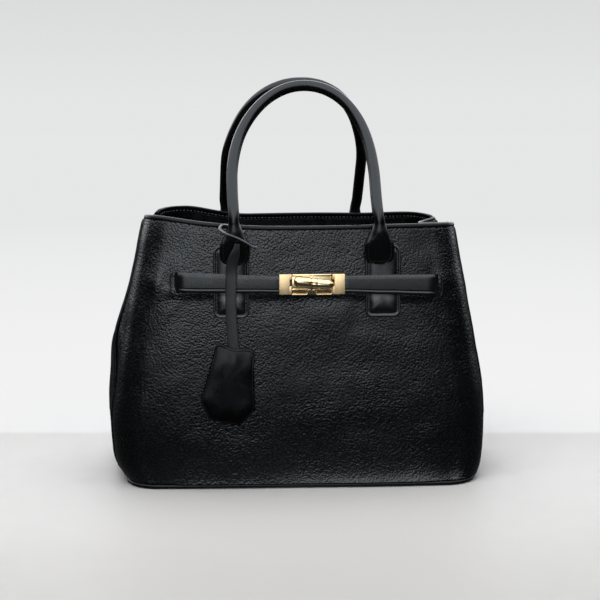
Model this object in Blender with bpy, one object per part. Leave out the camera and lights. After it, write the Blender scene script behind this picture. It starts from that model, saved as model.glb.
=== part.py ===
"""A structured tote bag with two rolled handles, a belt with a turn lock and a hanging key case.

X runs across the bag, Y from its front to its back and Z up. The origin is the centre of the base, on the
surface that the bag stands on. All sizes are in metres and all angles in degrees.
"""

import functools
import math

import bmesh
import bpy
from mathutils import Matrix, Vector

# Gaps between pieces
CLEAR = 0.0003
SEAM_GAP = 0.0006

# Body: the widest level, the mouth and the curve between them
BELLY_WIDTH = 0.356
BELLY_DEPTH = 0.152
BELLY_HEIGHT = 0.060
MOUTH_WIDTH = 0.290
MOUTH_DEPTH = 0.120
RIM_HEIGHT = 0.2475
RIM_SAG = 0.004
WIDTH_CURVE = 1.35
DEPTH_CURVE = 1.2
FACE_BOW = 0.003
BASE_TAPER = 0.0035
BASE_CURL = 0.0075
BASE_CURL_POWER = 8

# Corners and sides
CORNER_RADIUS_BELLY = 0.034
CORNER_RADIUS_MOUTH = 0.026
RETURN_LENGTH = 0.006
SIDE_BULGE = 0.009
SIDE_BULGE_TOP = 0.190
FOLD_DEPTH = 0.026
FOLD_START = 0.110
GUSSET_DROP = 0.004

# Sheets of the body
PANEL_THICKNESS = 0.0020
GUSSET_THICKNESS = 0.0014
LINING_THICKNESS = 0.0008
LINING_OVERLAP = 0.0025
FACING_BOTTOM = 0.2140
FACING_THICKNESS = 0.0018
BINDING_THICKNESS = 0.0008
BINDING_HEIGHT = 0.005
PIPING_RADIUS = 0.0014

# Base
BASE_THICKNESS = 0.0026
WELT_RADIUS = 0.0020
WELT_LIFT = 0.0004
WELT_INSET = 0.0030
BOARD_THICKNESS = 0.0018
BOARD_INSET = 0.009

# Handle patches
PATCH_X = 0.0702
PATCH_WIDTH = 0.033
PATCH_BOTTOM = 0.160
PATCH_TOP = 0.225
PATCH_THICKNESS = 0.0021
PATCH_CORNER = 0.0065
PATCH_GROOVE_INSET = 0.0032
PATCH_GROOVE_DEPTH = 0.0008
PATCH_PAD_INSET = 0.0058

# Handle ends: a flat spade that narrows to a round neck
TAB_X = 0.0665
TAB_WIDTH = 0.0278
TAB_THICKNESS = 0.0034
TAB_BOTTOM = 0.210
TAB_WIDEST = 0.222
FLARE_BOTTOM = 0.224
FLARE_TOP = 0.240
NECK_TOP = 0.243

# Rolled handles
HANDLE_RADIUS = 0.00525
ARCH_SPRING = 0.293
FRONT_ARCH_TOP = 0.372
BACK_ARCH_TOP = 0.3765
FRONT_HANDLE_SWAY = -0.0024
BACK_HANDLE_SWAY = -0.0060
ARCH_POWER = 2.2
LEAN_EASE = 0.12

# Belt
LOCK_X = 0.0040
LOCK_Z = 0.1915
BELT_THICKNESS = 0.0024
BELT_END_THICKNESS = 0.0018
BELT_SLOT_X = 0.1185
BELT_HEIGHT_AT_SLOT = 0.0188
BELT_HEIGHT_AT_LOCK = 0.0155
BELT_RISE_AT_SLOT = 0.0024
BELT_HINGE_X = 0.050
BELT_TAIL = 0.009
SLOT_WIDTH = 0.0078
SLOT_SHIFT = 0.0014
SLOT_MARGIN = 0.0007

# Turn lock
LOCK_HALF_WIDTH = 0.0303
LOCK_HEIGHT = 0.0187
END_PLATE_WIDTH = 0.0117
END_PLATE_DEPTH = 0.0040
END_PLATE_OUT = 0.0020
END_PLATE_WALL = 0.0008
TIP_NOTCH = 0.0019
LOCK_BASE_THICKNESS = 0.0012
LOCK_RAIL_HEIGHT = 0.0022
LOCK_RAIL_DEPTH = 0.0030
ARM_THICKNESS = 0.0016
ARM_RAIL = 0.0012
ARM_DROP = 0.0008
BAR_RAISE = 0.0013
BAR_LEFT = 0.0170
BAR_RIGHT = 0.0201
BAR_STEP = 0.0047
BAR_LEFT_RADIUS = 0.0052
BAR_RIGHT_RADIUS = 0.0047
BAR_FLATNESS = 0.77
BAR_CONE = 0.0039
BAR_TIP_RADIUS = 0.0008
BOSS_RADIUS = 0.0034
STEM_RADIUS = 0.0018
BACKPLATE_WIDTH = 0.030
BACKPLATE_HEIGHT = 0.014
BACKPLATE_THICKNESS = 0.0008

# Key case, which hangs from a loop round the left neck of the front handle
STRAP_WIDTH = 0.0102
STRAP_THICKNESS = 0.0018
STRAP_TOP_X = -0.0683
STRAP_TOP_Z = 0.2310
STRAP_CREST = 0.0053
STRAP_CREST_DROP = 0.020
CASE_TOP_X = -0.0668
CASE_TOP_Z = 0.1350
CASE_HEIGHT = 0.0715
CASE_TOP_WIDTH = 0.0352
CASE_WIDTH = 0.0514
CASE_BOTTOM_WIDTH = 0.0310
CASE_WIDEST = 0.0540
CASE_TILT = 3.8
CASE_CORNER = 0.004
CASE_BACK_THICKNESS = 0.0022
CASE_FRONT_THICKNESS = 0.0032
CASE_CHAMFER = 0.0014
LOOP_THICKNESS = 0.0014
LOOP_WIDTH = 0.0050
LOOP_ROOM = 0.0008

# Facets
RETURN_STEPS = 2
CORNER_STEPS = 5
FACE_STEPS = 8
GUSSET_STEPS = 8
RING_SIDES = 16

FRONT, BACK = -1, 1
LEFT, RIGHT = -1, 1


def clear_scene():
    for obj in list(bpy.data.objects):
        bpy.data.objects.remove(obj, do_unlink=True)


def material(name, colour, roughness, metallic=0.0):
    """A Principled material, made once for each name."""
    made = bpy.data.materials.get(name)
    if made is None:
        made = bpy.data.materials.new(name)
        made.use_nodes = True
        shader = made.node_tree.nodes["Principled BSDF"]
        shader.inputs["Base Color"].default_value = (*colour, 1.0)
        shader.inputs["Roughness"].default_value = roughness
        shader.inputs["Metallic"].default_value = metallic
    return made


def grain_leather():
    return material("grain_leather", (0.012, 0.013, 0.014), 0.5)


def smooth_leather():
    return material("smooth_leather", (0.010, 0.011, 0.012), 0.35)


def lining_fabric():
    return material("lining_fabric", (0.02, 0.02, 0.022), 0.9)


def fibre_board():
    return material("fibre_board", (0.10, 0.09, 0.08), 0.8)


def satin_gold():
    return material("satin_gold", (0.83, 0.63, 0.36), 0.3, 1.0)


def polished_gold():
    return material("polished_gold", (0.85, 0.66, 0.36), 0.08, 1.0)


def smooth_step(t):
    t = min(1.0, max(0.0, t))
    return t * t * (3 - 2 * t)


def mix(a, b, t):
    return a + (b - a) * t


def add_object(name, bm, made_of, round_angle=None):
    """Turns a bmesh into an object, faces outward, shaded smooth below round_angle."""
    bmesh.ops.recalc_face_normals(bm, faces=bm.faces)
    mesh = bpy.data.meshes.new(name)
    bm.to_mesh(mesh)
    bm.free()
    if round_angle is not None:
        mesh.shade_smooth()
        mesh.set_sharp_from_angle(angle=math.radians(round_angle))
    obj = bpy.data.objects.new(name, mesh)
    obj.data.materials.append(made_of())
    bpy.context.scene.collection.objects.link(obj)
    return obj


def lofted(name, rings, made_of, round_angle=40, closed=False):
    """A solid through rings of equally many points, with a flat face at each end unless it is closed."""
    bm = bmesh.new()
    loops = [[bm.verts.new(p) for p in ring] for ring in rings]
    count = len(rings[0])
    following = loops[1:] + loops[:1] if closed else loops[1:]
    for low, high in zip(loops, following):
        for i in range(count):
            j = (i + 1) % count
            bm.faces.new((low[i], low[j], high[j], high[i]))
    if not closed:
        bm.faces.new(loops[0])
        bm.faces.new(loops[-1])
    return add_object(name, bm, made_of, round_angle)


def sheet(name, outer, inner, made_of, around=False, floor=False):
    """A closed sheet between two grids of points. Around joins each row's ends; floor closes the first row."""
    bm = bmesh.new()
    faces = [[[bm.verts.new(p) for p in row] for row in grid] for grid in (outer, inner)]
    rows, columns = len(outer), len(outer[0])
    spans = columns if around else columns - 1
    for grid in faces:
        for r in range(rows - 1):
            for c in range(spans):
                d = (c + 1) % columns
                bm.faces.new((grid[r][c], grid[r][d], grid[r + 1][d], grid[r + 1][c]))
    out, inn = faces
    for c in range(spans):
        d = (c + 1) % columns
        bm.faces.new((out[-1][c], out[-1][d], inn[-1][d], inn[-1][c]))
        if not floor:
            bm.faces.new((out[0][c], out[0][d], inn[0][d], inn[0][c]))
    if floor:
        bm.faces.new(out[0])
        bm.faces.new(inn[0])
    if not around:
        for r in range(rows - 1):
            bm.faces.new((out[r][0], out[r + 1][0], inn[r + 1][0], inn[r][0]))
            bm.faces.new((out[r][-1], out[r + 1][-1], inn[r + 1][-1], inn[r][-1]))
    return add_object(name, bm, made_of, 40)


def cord(name, points, radius, made_of, sides=8, closed=False):
    """A round cord through the points, with mitred bends."""
    count = len(points)
    rings = []
    for i, point in enumerate(points):
        before = points[i - 1] if i or closed else point
        after = points[(i + 1) % count] if i < count - 1 or closed else point
        first, second = point - before, after - point
        first = (first if first.length else second).normalized()
        second = (second if second.length else first).normalized()
        along = (first + second).normalized()
        reference = Vector((0, 0, 1)) if closed else Vector((0, 1, 0))
        across = along.cross(reference).normalized()
        upright = across.cross(along)
        bend = first.cross(second).normalized()
        stretch = 1 / max(0.5, along.dot(first))
        ring = []
        for j in range(sides):
            angle = 2 * math.pi * (j + 0.5) / sides
            spoke = (across * math.cos(angle) + upright * math.sin(angle)) * radius
            outward = bend.cross(along)
            spoke += outward * spoke.dot(outward) * (stretch - 1)
            ring.append(point + spoke)
        rings.append(ring)
    return lofted(name, rings, made_of, closed=closed)


def block(name, low, high, place, made_of):
    """A box between two local corners, put in place by a matrix."""
    bm = bmesh.new()
    bmesh.ops.create_cube(bm, size=1.0)
    low, high = Vector(low), Vector(high)
    for vert in bm.verts:
        vert.co = [mix(low[i], high[i], vert.co[i] + 0.5) for i in range(3)]
    bmesh.ops.transform(bm, matrix=place, verts=bm.verts)
    return add_object(name, bm, made_of)


def rod(name, radius, low, high, place, made_of, sides=RING_SIDES):
    """A round rod along local Z from low to high, put in place by a matrix."""
    bm = bmesh.new()
    bmesh.ops.create_cone(
        bm, cap_ends=True, segments=sides, radius1=radius, radius2=radius, depth=high - low
    )
    bmesh.ops.translate(bm, vec=(0, 0, (low + high) / 2), verts=bm.verts)
    bmesh.ops.transform(bm, matrix=place, verts=bm.verts)
    return add_object(name, bm, made_of, 40)


def combine(obj, tool, operation):
    """Adds a Boolean modifier and hides its tool."""
    modifier = obj.modifiers.new(tool.name, "BOOLEAN")
    modifier.operation = operation
    modifier.solver = "EXACT"
    modifier.object = tool
    tool.hide_render = True
    tool.display_type = "WIRE"


def joint_axis(name, place):
    empty = bpy.data.objects.new(name, None)
    empty.empty_display_size = 0.02
    empty.location = place
    bpy.context.scene.collection.objects.link(empty)
    bpy.context.view_layer.update()
    return empty


def hang_on(empty, *pieces):
    """Parents pieces to the empty on their joint's axis, where they are."""
    for piece in pieces:
        piece.parent = empty
        piece.matrix_parent_inverse = empty.matrix_world.inverted()


# The body's outer wall


def rise(z):
    """How far z lies from the widest level to the rim, from 0 to 1."""
    return max(0.0, (z - BELLY_HEIGHT) / (RIM_HEIGHT - BELLY_HEIGHT))


def base_draw(z):
    """How far the wall is drawn in below the widest level."""
    sink = max(0.0, (BELLY_HEIGHT - z) / BELLY_HEIGHT)
    return BASE_TAPER * sink + BASE_CURL * sink**BASE_CURL_POWER


def half_width(z):
    return BELLY_WIDTH / 2 - (BELLY_WIDTH - MOUTH_WIDTH) / 2 * rise(z) ** WIDTH_CURVE - base_draw(z)


def half_depth(z):
    return BELLY_DEPTH / 2 - (BELLY_DEPTH - MOUTH_DEPTH) / 2 * rise(z) ** DEPTH_CURVE - base_draw(z)


def corner_radius(z):
    return mix(CORNER_RADIUS_BELLY, CORNER_RADIUS_MOUTH, rise(z))


def straight_half(z):
    """Half the length of the side wall between its two corners."""
    return half_depth(z) - corner_radius(z)


def seam_half(z):
    """How far the side seams stand from the bag's middle."""
    return straight_half(z) - RETURN_LENGTH


def side_bulge(z):
    return SIDE_BULGE * math.sin(math.pi * min(1.0, max(0.0, z / SIDE_BULGE_TOP)))


def fold_depth(z):
    return FOLD_DEPTH * smooth_step((z - FOLD_START) / (RIM_HEIGHT - FOLD_START))


def side_reach(y, z):
    return half_width(z) + side_bulge(z) * math.cos(math.pi * y / (2 * straight_half(z))) ** 2


def face_depth(x, z):
    """How far the front or back face stands from the bag's middle."""
    span = half_width(z) - corner_radius(z)
    return half_depth(z) + FACE_BOW * (1 - (x / span) ** 2)


def face_outline(z):
    """The front panel's outline from its left seam to its right seam."""
    half, radius, straight = half_width(z), corner_radius(z), straight_half(z)
    seam = seam_half(z) + SEAM_GAP / 2
    side = []
    for i in range(RETURN_STEPS):
        y = -mix(seam, straight, i / RETURN_STEPS)
        side.append((-side_reach(y, z), y))
    for i in range(CORNER_STEPS):
        angle = math.pi / 2 * i / CORNER_STEPS
        x = half - radius + radius * math.cos(angle)
        side.append((-x, -straight - radius * math.sin(angle)))
    face = []
    for i in range(FACE_STEPS + 1):
        x = (half - radius) * (2 * i / FACE_STEPS - 1)
        face.append((x, -face_depth(x, z)))
    return side + face + [(-x, y) for x, y in reversed(side)]


def gusset_outline(z):
    """The right gusset's outline from its front seam to its back seam, folded in towards the top."""
    seam = seam_half(z) - SEAM_GAP / 2
    points = []
    for i in range(GUSSET_STEPS + 1):
        y = seam * (2 * i / GUSSET_STEPS - 1)
        fold = fold_depth(z) * (1 + math.cos(math.pi * y / seam)) / 2
        points.append((side_reach(y, z) - fold, y))
    return points


@functools.lru_cache(maxsize=None)
def wall_outline(z, out):
    """The wall all round at height z, moved outward by out: front, right, back and left stretches."""
    front, right = face_outline(z), gusset_outline(z)
    back = [(-x, -y) for x, y in front]
    left = [(-x, -y) for x, y in right]
    loop = front + right + back + left
    moved = []
    for i, (x, y) in enumerate(loop):
        before, after = Vector(loop[i - 1]), Vector(loop[(i + 1) % len(loop)])
        here = Vector((x, y))
        first, second = (here - before).normalized(), (after - here).normalized()
        normal = Vector((first.y + second.y, -first.x - second.x)).normalized()
        stretch = 1 / max(0.5, normal.dot(Vector((first.y, -first.x))))
        moved.append(here + normal * out * stretch)
    n, m = len(front), len(right)
    return {
        "front": moved[:n],
        "right": moved[n : n + m],
        "back": moved[n + m : 2 * n + m],
        "left": moved[2 * n + m :],
        "all": moved,
    }


def wall_point(stretch, column, z, out):
    point = wall_outline(round(z, 7), out)[stretch][column]
    return Vector((point.x, point.y, z))


FACE_COLUMNS = 2 * (RETURN_STEPS + CORNER_STEPS) + FACE_STEPS + 1


def rim_height(column):
    """The rim's height at a column of the front or back panel, which sags in the middle."""
    x = face_outline(RIM_HEIGHT)[column][0]
    return RIM_HEIGHT - RIM_SAG * (1 - (2 * x / MOUTH_WIDTH) ** 2)


def panel_bottom():
    return WELT_LIFT + 2 * WELT_RADIUS + CLEAR


WALL_LEVELS = (0.0, 0.015, 0.045, 0.11, 0.20, 0.31, 0.43, 0.56, 0.70, 0.85, 1.0)


def panel_rows(stretch, out, levels, low, drop=0.0):
    """Rows of points over a face panel, from low up to the rim less drop."""
    rows = []
    for level in levels:
        row = []
        for column in range(FACE_COLUMNS):
            z = mix(low, rim_height(column) - drop, level)
            row.append(wall_point(stretch, column, z, out))
        rows.append(row)
    return rows


def make_panel(stretch):
    """A grained face panel that wraps round both corners to the side seams."""
    low = panel_bottom()
    outer = panel_rows(stretch, 0.0, WALL_LEVELS, low)
    inner = panel_rows(stretch, -PANEL_THICKNESS, WALL_LEVELS, low)
    return sheet(stretch + "_panel", outer, inner, grain_leather)


def make_gusset(stretch):
    """A side gusset between the two panels, with its inward fold."""
    low, high = panel_bottom(), RIM_HEIGHT - GUSSET_DROP
    grids = []
    for out in (0.0, -GUSSET_THICKNESS):
        rows = []
        for level in WALL_LEVELS:
            z = mix(low, high, level)
            rows.append([wall_point(stretch, c, z, out) for c in range(GUSSET_STEPS + 1)])
        grids.append(rows)
    return sheet(stretch + "_gusset", *grids, grain_leather)


def lining_out():
    """The lining lies just inside the facings and the belts' inner ends."""
    return -PANEL_THICKNESS - max(FACING_THICKNESS, BELT_END_THICKNESS) - 2 * CLEAR - 0.0001


def lining_row(z, out):
    """The wall's outline all round, less the gussets' edges, which the lining has no seams at."""
    wall = wall_outline(round(z, 7), out)
    points = wall["front"] + wall["right"][1:-1] + wall["back"] + wall["left"][1:-1]
    return [Vector((*p, z)) for p in points]


def make_lining():
    """The cloth lining, a cup that stands on the base board and ends behind the facings' lower edge."""
    low, high = board_top() + CLEAR, FACING_BOTTOM + LINING_OVERLAP
    levels = (0.0, 0.08, 0.25, 0.5, 0.75, 1.0)
    outside, inside = lining_out(), lining_out() - LINING_THICKNESS
    outer = [lining_row(mix(low, high, level), outside) for level in levels]
    inner = [lining_row(mix(low + LINING_THICKNESS, high, level), inside) for level in levels]
    return sheet("lining", outer, inner, lining_fabric, around=True, floor=True)


def make_facing(stretch):
    """The leather band inside the mouth, whose lower edge laps the lining."""
    drop = BINDING_HEIGHT + CLEAR
    near = -PANEL_THICKNESS - CLEAR
    levels = (0.0, 0.5, 1.0)
    outer = panel_rows(stretch, near, levels, FACING_BOTTOM, drop)
    inner = panel_rows(stretch, near - FACING_THICKNESS, levels, FACING_BOTTOM, drop)
    return sheet(stretch + "_facing", outer, inner, smooth_leather)


def make_binding(stretch):
    """The folded edge binding that straddles a panel's top edge."""
    outside = CLEAR + BINDING_THICKNESS
    inside = -PANEL_THICKNESS - CLEAR - BINDING_THICKNESS
    top = CLEAR + BINDING_THICKNESS
    round_off = BINDING_THICKNESS * 0.7
    profile = [
        (outside, -BINDING_HEIGHT),
        (outside, top - round_off),
        (outside - round_off, top),
        (inside + round_off, top),
        (inside, top - round_off),
        (inside, -BINDING_HEIGHT),
        (-PANEL_THICKNESS - CLEAR, -BINDING_HEIGHT),
        (-PANEL_THICKNESS - CLEAR, CLEAR),
        (CLEAR, CLEAR),
        (CLEAR, -BINDING_HEIGHT),
    ]
    rings = []
    for column in range(FACE_COLUMNS):
        rim = rim_height(column)
        ring = []
        for out, up in profile:
            place = wall_point(stretch, column, rim + min(up, 0), out)
            ring.append(Vector((place.x, place.y, rim + up)))
        rings.append(ring)
    return lofted(stretch + "_binding", rings, smooth_leather)


def make_piping(stretch, column, name):
    """The cord along a side seam, just outside the panel's edge."""
    out = CLEAR + PIPING_RADIUS
    low = panel_bottom() + PIPING_RADIUS
    high = RIM_HEIGHT - BINDING_HEIGHT - PIPING_RADIUS
    points = [
        wall_point(stretch, column, mix(low, high, level), out) for level in WALL_LEVELS
    ]
    return cord(name, points, PIPING_RADIUS, smooth_leather)


def board_top():
    return BASE_THICKNESS + CLEAR + BOARD_THICKNESS


def flat_plate(name, inset, low, high, made_of):
    """A plate with the outline of the wall's lower edge, drawn in by inset."""
    outline = wall_outline(round(panel_bottom(), 7), -inset)["all"]
    return lofted(name, [[Vector((*p, z)) for p in outline] for z in (low, high)], made_of, None)


def make_base():
    """The base panel, the piping round it and the stiffening board inside."""
    inset = WELT_INSET + WELT_RADIUS + CLEAR
    flat_plate("base_panel", inset, 0.0, BASE_THICKNESS, grain_leather)
    middle = WELT_LIFT + WELT_RADIUS
    outline = wall_outline(round(panel_bottom(), 7), -WELT_INSET)["all"]
    ring = [Vector((*p, middle)) for p in outline]
    cord("base_welt", ring, WELT_RADIUS, smooth_leather, closed=True)
    low = BASE_THICKNESS + CLEAR
    flat_plate("base_board", BOARD_INSET, low, board_top(), fibre_board)


# Pieces on the faces


def face_slope(z):
    """How much the face draws in for each metre up."""
    step = 0.0005
    return (half_depth(z - step) - half_depth(z + step)) / (2 * step)


def on_face(side, x, z, out):
    """The point that stands out from the front or back face at (x, z), square to it."""
    slope = face_slope(z)
    length = math.hypot(1, slope)
    y = face_depth(x, z) + out / length
    return Vector((x, side * y, z + out * slope / length))


def patch_outline(inset):
    """A handle patch's outline about its own middle, with rounded bottom corners."""
    half = PATCH_WIDTH / 2 - inset
    low, high = PATCH_BOTTOM + inset, PATCH_TOP - inset
    radius = max(PATCH_CORNER - inset, 0.001)
    points = []
    for corner, (cx, cz) in enumerate(
        [(half, high), (-half, high), (-half, low), (half, low)]
    ):
        turn = radius if corner > 1 else radius * 0.3
        x0, z0 = cx - math.copysign(turn, cx), cz - math.copysign(turn, 1 if corner < 2 else -1)
        for i in range(4):
            angle = math.pi / 2 * (corner + i / 3)
            points.append((x0 + turn * math.cos(angle), z0 + turn * math.sin(angle)))
    return points


def make_patch(side, end, name):
    """The padded leather patch that a handle end is sewn to."""
    groove = PATCH_THICKNESS - PATCH_GROOVE_DEPTH
    steps = [
        (0.0, CLEAR),
        (0.0, PATCH_THICKNESS - 0.0004),
        (0.0006, PATCH_THICKNESS),
        (PATCH_GROOVE_INSET - 0.001, PATCH_THICKNESS),
        (PATCH_GROOVE_INSET, groove),
        (PATCH_PAD_INSET, PATCH_THICKNESS),
    ]
    rings = [
        [on_face(side, end * PATCH_X + x, z, out) for x, z in patch_outline(inset)]
        for inset, out in steps
    ]
    return lofted(name, rings, smooth_leather)


def neck_out():
    """How far a neck's back stands off the panel, so that the key case's loop passes behind it."""
    return CLEAR + BINDING_THICKNESS + LOOP_THICKNESS + 2 * CLEAR + LOOP_ROOM


def tab_half_width(z):
    if z < TAB_WIDEST:
        t = (TAB_WIDEST - z) / (TAB_WIDEST - TAB_BOTTOM)
        return TAB_WIDTH / 2 * (1 - t**3) ** (1 / 3)
    t = (z - FLARE_BOTTOM) / (FLARE_TOP - FLARE_BOTTOM)
    return mix(TAB_WIDTH / 2, HANDLE_RADIUS, smooth_step(t))


def tab_half_thickness(z):
    t = (z - FLARE_BOTTOM) / (NECK_TOP - FLARE_BOTTOM)
    return mix(TAB_THICKNESS / 2, HANDLE_RADIUS, smooth_step(t))


def tab_back(z):
    t = (z - FLARE_BOTTOM) / (NECK_TOP - FLARE_BOTTOM)
    return mix(PATCH_THICKNESS + 2 * CLEAR, neck_out(), smooth_step(t))


def tab_middle(z):
    """How far the middle of a handle end stands from the bag's middle."""
    return face_depth(TAB_X, z) + tab_back(z) + tab_half_thickness(z)


def make_tab(side, end, name):
    """The sewn end of a handle, from its flat spade to its round neck."""
    top = NECK_TOP - CLEAR / 2
    heights = [TAB_BOTTOM + 0.0003, TAB_BOTTOM + 0.0012, TAB_BOTTOM + 0.0035, TAB_BOTTOM + 0.007]
    heights += [TAB_WIDEST, 0.227, 0.230, 0.233, 0.2365, 0.240, top]
    rings = []
    for z in heights:
        squareness = mix(0.6, 1.0, smooth_step((z - FLARE_BOTTOM) / (FLARE_TOP - FLARE_BOTTOM)))
        ring = []
        for i in range(RING_SIDES):
            angle = 2 * math.pi * (i + 0.5) / RING_SIDES
            across = math.copysign(abs(math.cos(angle)) ** squareness, math.cos(angle))
            deep = math.copysign(abs(math.sin(angle)) ** squareness, math.sin(angle))
            x = end * TAB_X + tab_half_width(z) * across
            ring.append((x, side * (tab_middle(z) + tab_half_thickness(z) * deep), z))
        rings.append(ring)
    return lofted(name, rings, smooth_leather)


def handle_lean(z, top):
    """How far a handle has leaned inward at height z, from 0 at its neck to 1 at its top."""
    t = (z - NECK_TOP) / (top - NECK_TOP)
    eased = t * t / (2 * LEAN_EASE) if t < LEAN_EASE else t - LEAN_EASE / 2
    return eased / (1 - LEAN_EASE / 2)


def handle_path(side):
    """A handle's centre line, from its left neck over the arch to its right neck."""
    foot, near = tab_middle(NECK_TOP), HANDLE_RADIUS + 0.7 * CLEAR
    top = FRONT_ARCH_TOP if side == FRONT else BACK_ARCH_TOP
    sway = FRONT_HANDLE_SWAY if side == FRONT else BACK_HANDLE_SWAY
    start = NECK_TOP + CLEAR / 2
    half = [(TAB_X, z) for z in (start, start + 0.002, 0.2495, 0.256, 0.268, 0.281)]
    steps = 9
    for i in range(steps + 1):
        angle = math.pi / 2 * i / steps
        x = TAB_X * math.cos(angle) ** (2 / ARCH_POWER) if i < steps else 0.0
        half.append((x, mix(ARCH_SPRING, top, math.sin(angle) ** (2 / ARCH_POWER))))
    outline = [(-x, z) for x, z in half] + [(x, z) for x, z in reversed(half[:-1])]
    points = []
    for x, z in outline:
        swayed = x + sway * smooth_step((z - NECK_TOP) / (ARCH_SPRING - NECK_TOP))
        points.append(Vector((swayed, side * mix(foot, near, handle_lean(z, top)), z)))
    return points


def make_handle(side, name):
    handle = cord(name, handle_path(side), HANDLE_RADIUS, smooth_leather, RING_SIDES)
    front = tab_middle(NECK_TOP) + HANDLE_RADIUS
    axis = joint_axis(name + "_axis", (0, side * front, NECK_TOP))
    hang_on(axis, handle)


# Belt


def belt_out():
    """The belt's back stands just clear of the patches that it crosses."""
    return PATCH_THICKNESS + 2 * CLEAR


def belt_edges(x):
    """The belt's lower and upper edge at x."""
    t = (abs(x) - LOCK_HALF_WIDTH) / (BELT_SLOT_X - LOCK_HALF_WIDTH)
    height = mix(BELT_HEIGHT_AT_LOCK, BELT_HEIGHT_AT_SLOT, t)
    middle = LOCK_Z + BELT_RISE_AT_SLOT * t - 0.0002
    return middle - height / 2, middle + height / 2


def belt_ring(x, out, thickness, lean):
    """A section of the belt, whose thickness is turned by lean degrees in plan."""
    low, high = belt_edges(x)
    dx = thickness / 2 * math.sin(math.radians(lean))
    dn = thickness / 2 * math.cos(math.radians(lean))
    back, front = (x + dx, out - dn), (x - dx, out + dn)
    corners = [(back, low), (front, low), (front, high), (back, high)]
    return [on_face(FRONT, cx, z, co) for (cx, co), z in corners]


def belt_section(end, stations):
    """Belt rings at stations of (distance from the middle, out, thickness, lean), for either end."""
    return [belt_ring(end * x, out, thickness, end * lean) for x, out, thickness, lean in stations]


def make_belt(end, name):
    """A belt that comes through its slot from inside the panel and runs over the patch."""
    out = belt_out() + BELT_THICKNESS / 2
    inside = -PANEL_THICKNESS - CLEAR - BELT_END_THICKNESS / 2
    thin = BELT_END_THICKNESS
    x = BELT_SLOT_X
    stations = [
        (BELT_HINGE_X + CLEAR / 2, out, BELT_THICKNESS, 0),
        (PATCH_X, out, BELT_THICKNESS, 0),
        (x - 0.024, out, BELT_THICKNESS, 0),
        (x - 0.0095, out, BELT_THICKNESS, 0),
        (x - 0.0060, out - 0.0008, BELT_THICKNESS, 22),
        (x - 0.0030, out - 0.0026, thin, 40),
        (x, (out - 0.0044), thin, 45),
        (x + 0.0030, inside + 0.0007, thin, 30),
        (x + 0.0062, inside, thin, 0),
        (x + BELT_TAIL, inside, thin, 0),
    ]
    return lofted(name, belt_section(end, stations), smooth_leather)


def cut_slot(panel, end):
    """The slot that the belt comes through."""
    low, high = belt_edges(BELT_SLOT_X)
    depth = face_depth(BELT_SLOT_X, LOCK_Z)
    middle = end * (BELT_SLOT_X + SLOT_SHIFT)
    cutter = block(
        "belt_slot_left" if end == LEFT else "belt_slot_right",
        (middle - SLOT_WIDTH / 2, -depth - 0.01, low - SLOT_MARGIN),
        (middle + SLOT_WIDTH / 2, -depth + 0.01, high + SLOT_MARGIN),
        Matrix.Identity(4),
        grain_leather,
    )
    combine(panel, cutter, "DIFFERENCE")


def make_belt_tip(end, name):
    """The free end of the belt, from its crease to inside its metal end plate."""
    out = belt_out() + BELT_THICKNESS / 2
    plate = LOCK_HALF_WIDTH + end * LOCK_X
    inserted = plate - END_PLATE_WIDTH + TIP_NOTCH + END_PLATE_WALL + CLEAR
    stations = [
        (BELT_HINGE_X - CLEAR / 2, out, BELT_THICKNESS, 0),
        (plate + 0.004, out, BELT_THICKNESS, 0),
        (plate + 0.001, out, BELT_END_THICKNESS, 0),
        (inserted, out, BELT_END_THICKNESS, 0),
    ]
    return lofted(name, belt_section(end, stations), smooth_leather)


# Turn lock


def lock_frame():
    """Local X across, Y up along the face and Z out of it, from the face at the lock's middle."""
    slope = face_slope(LOCK_Z)
    length = math.hypot(1, slope)
    up = Vector((0, slope, 1)) / length
    out = Vector((0, -1, slope)) / length
    place = Matrix((Vector((1, 0, 0)), up, out)).transposed().to_4x4()
    place.translation = on_face(FRONT, LOCK_X, LOCK_Z, 0)
    return place


def arm_top():
    """The arms' upper edge, just under the turn bar."""
    return BAR_RAISE - BAR_LEFT_RADIUS - CLEAR


def bar_out():
    """How far the turn bar's middle stands off the face."""
    return END_PLATE_OUT + ARM_THICKNESS + 1.4 * CLEAR + BAR_LEFT_RADIUS * BAR_FLATNESS


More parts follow.
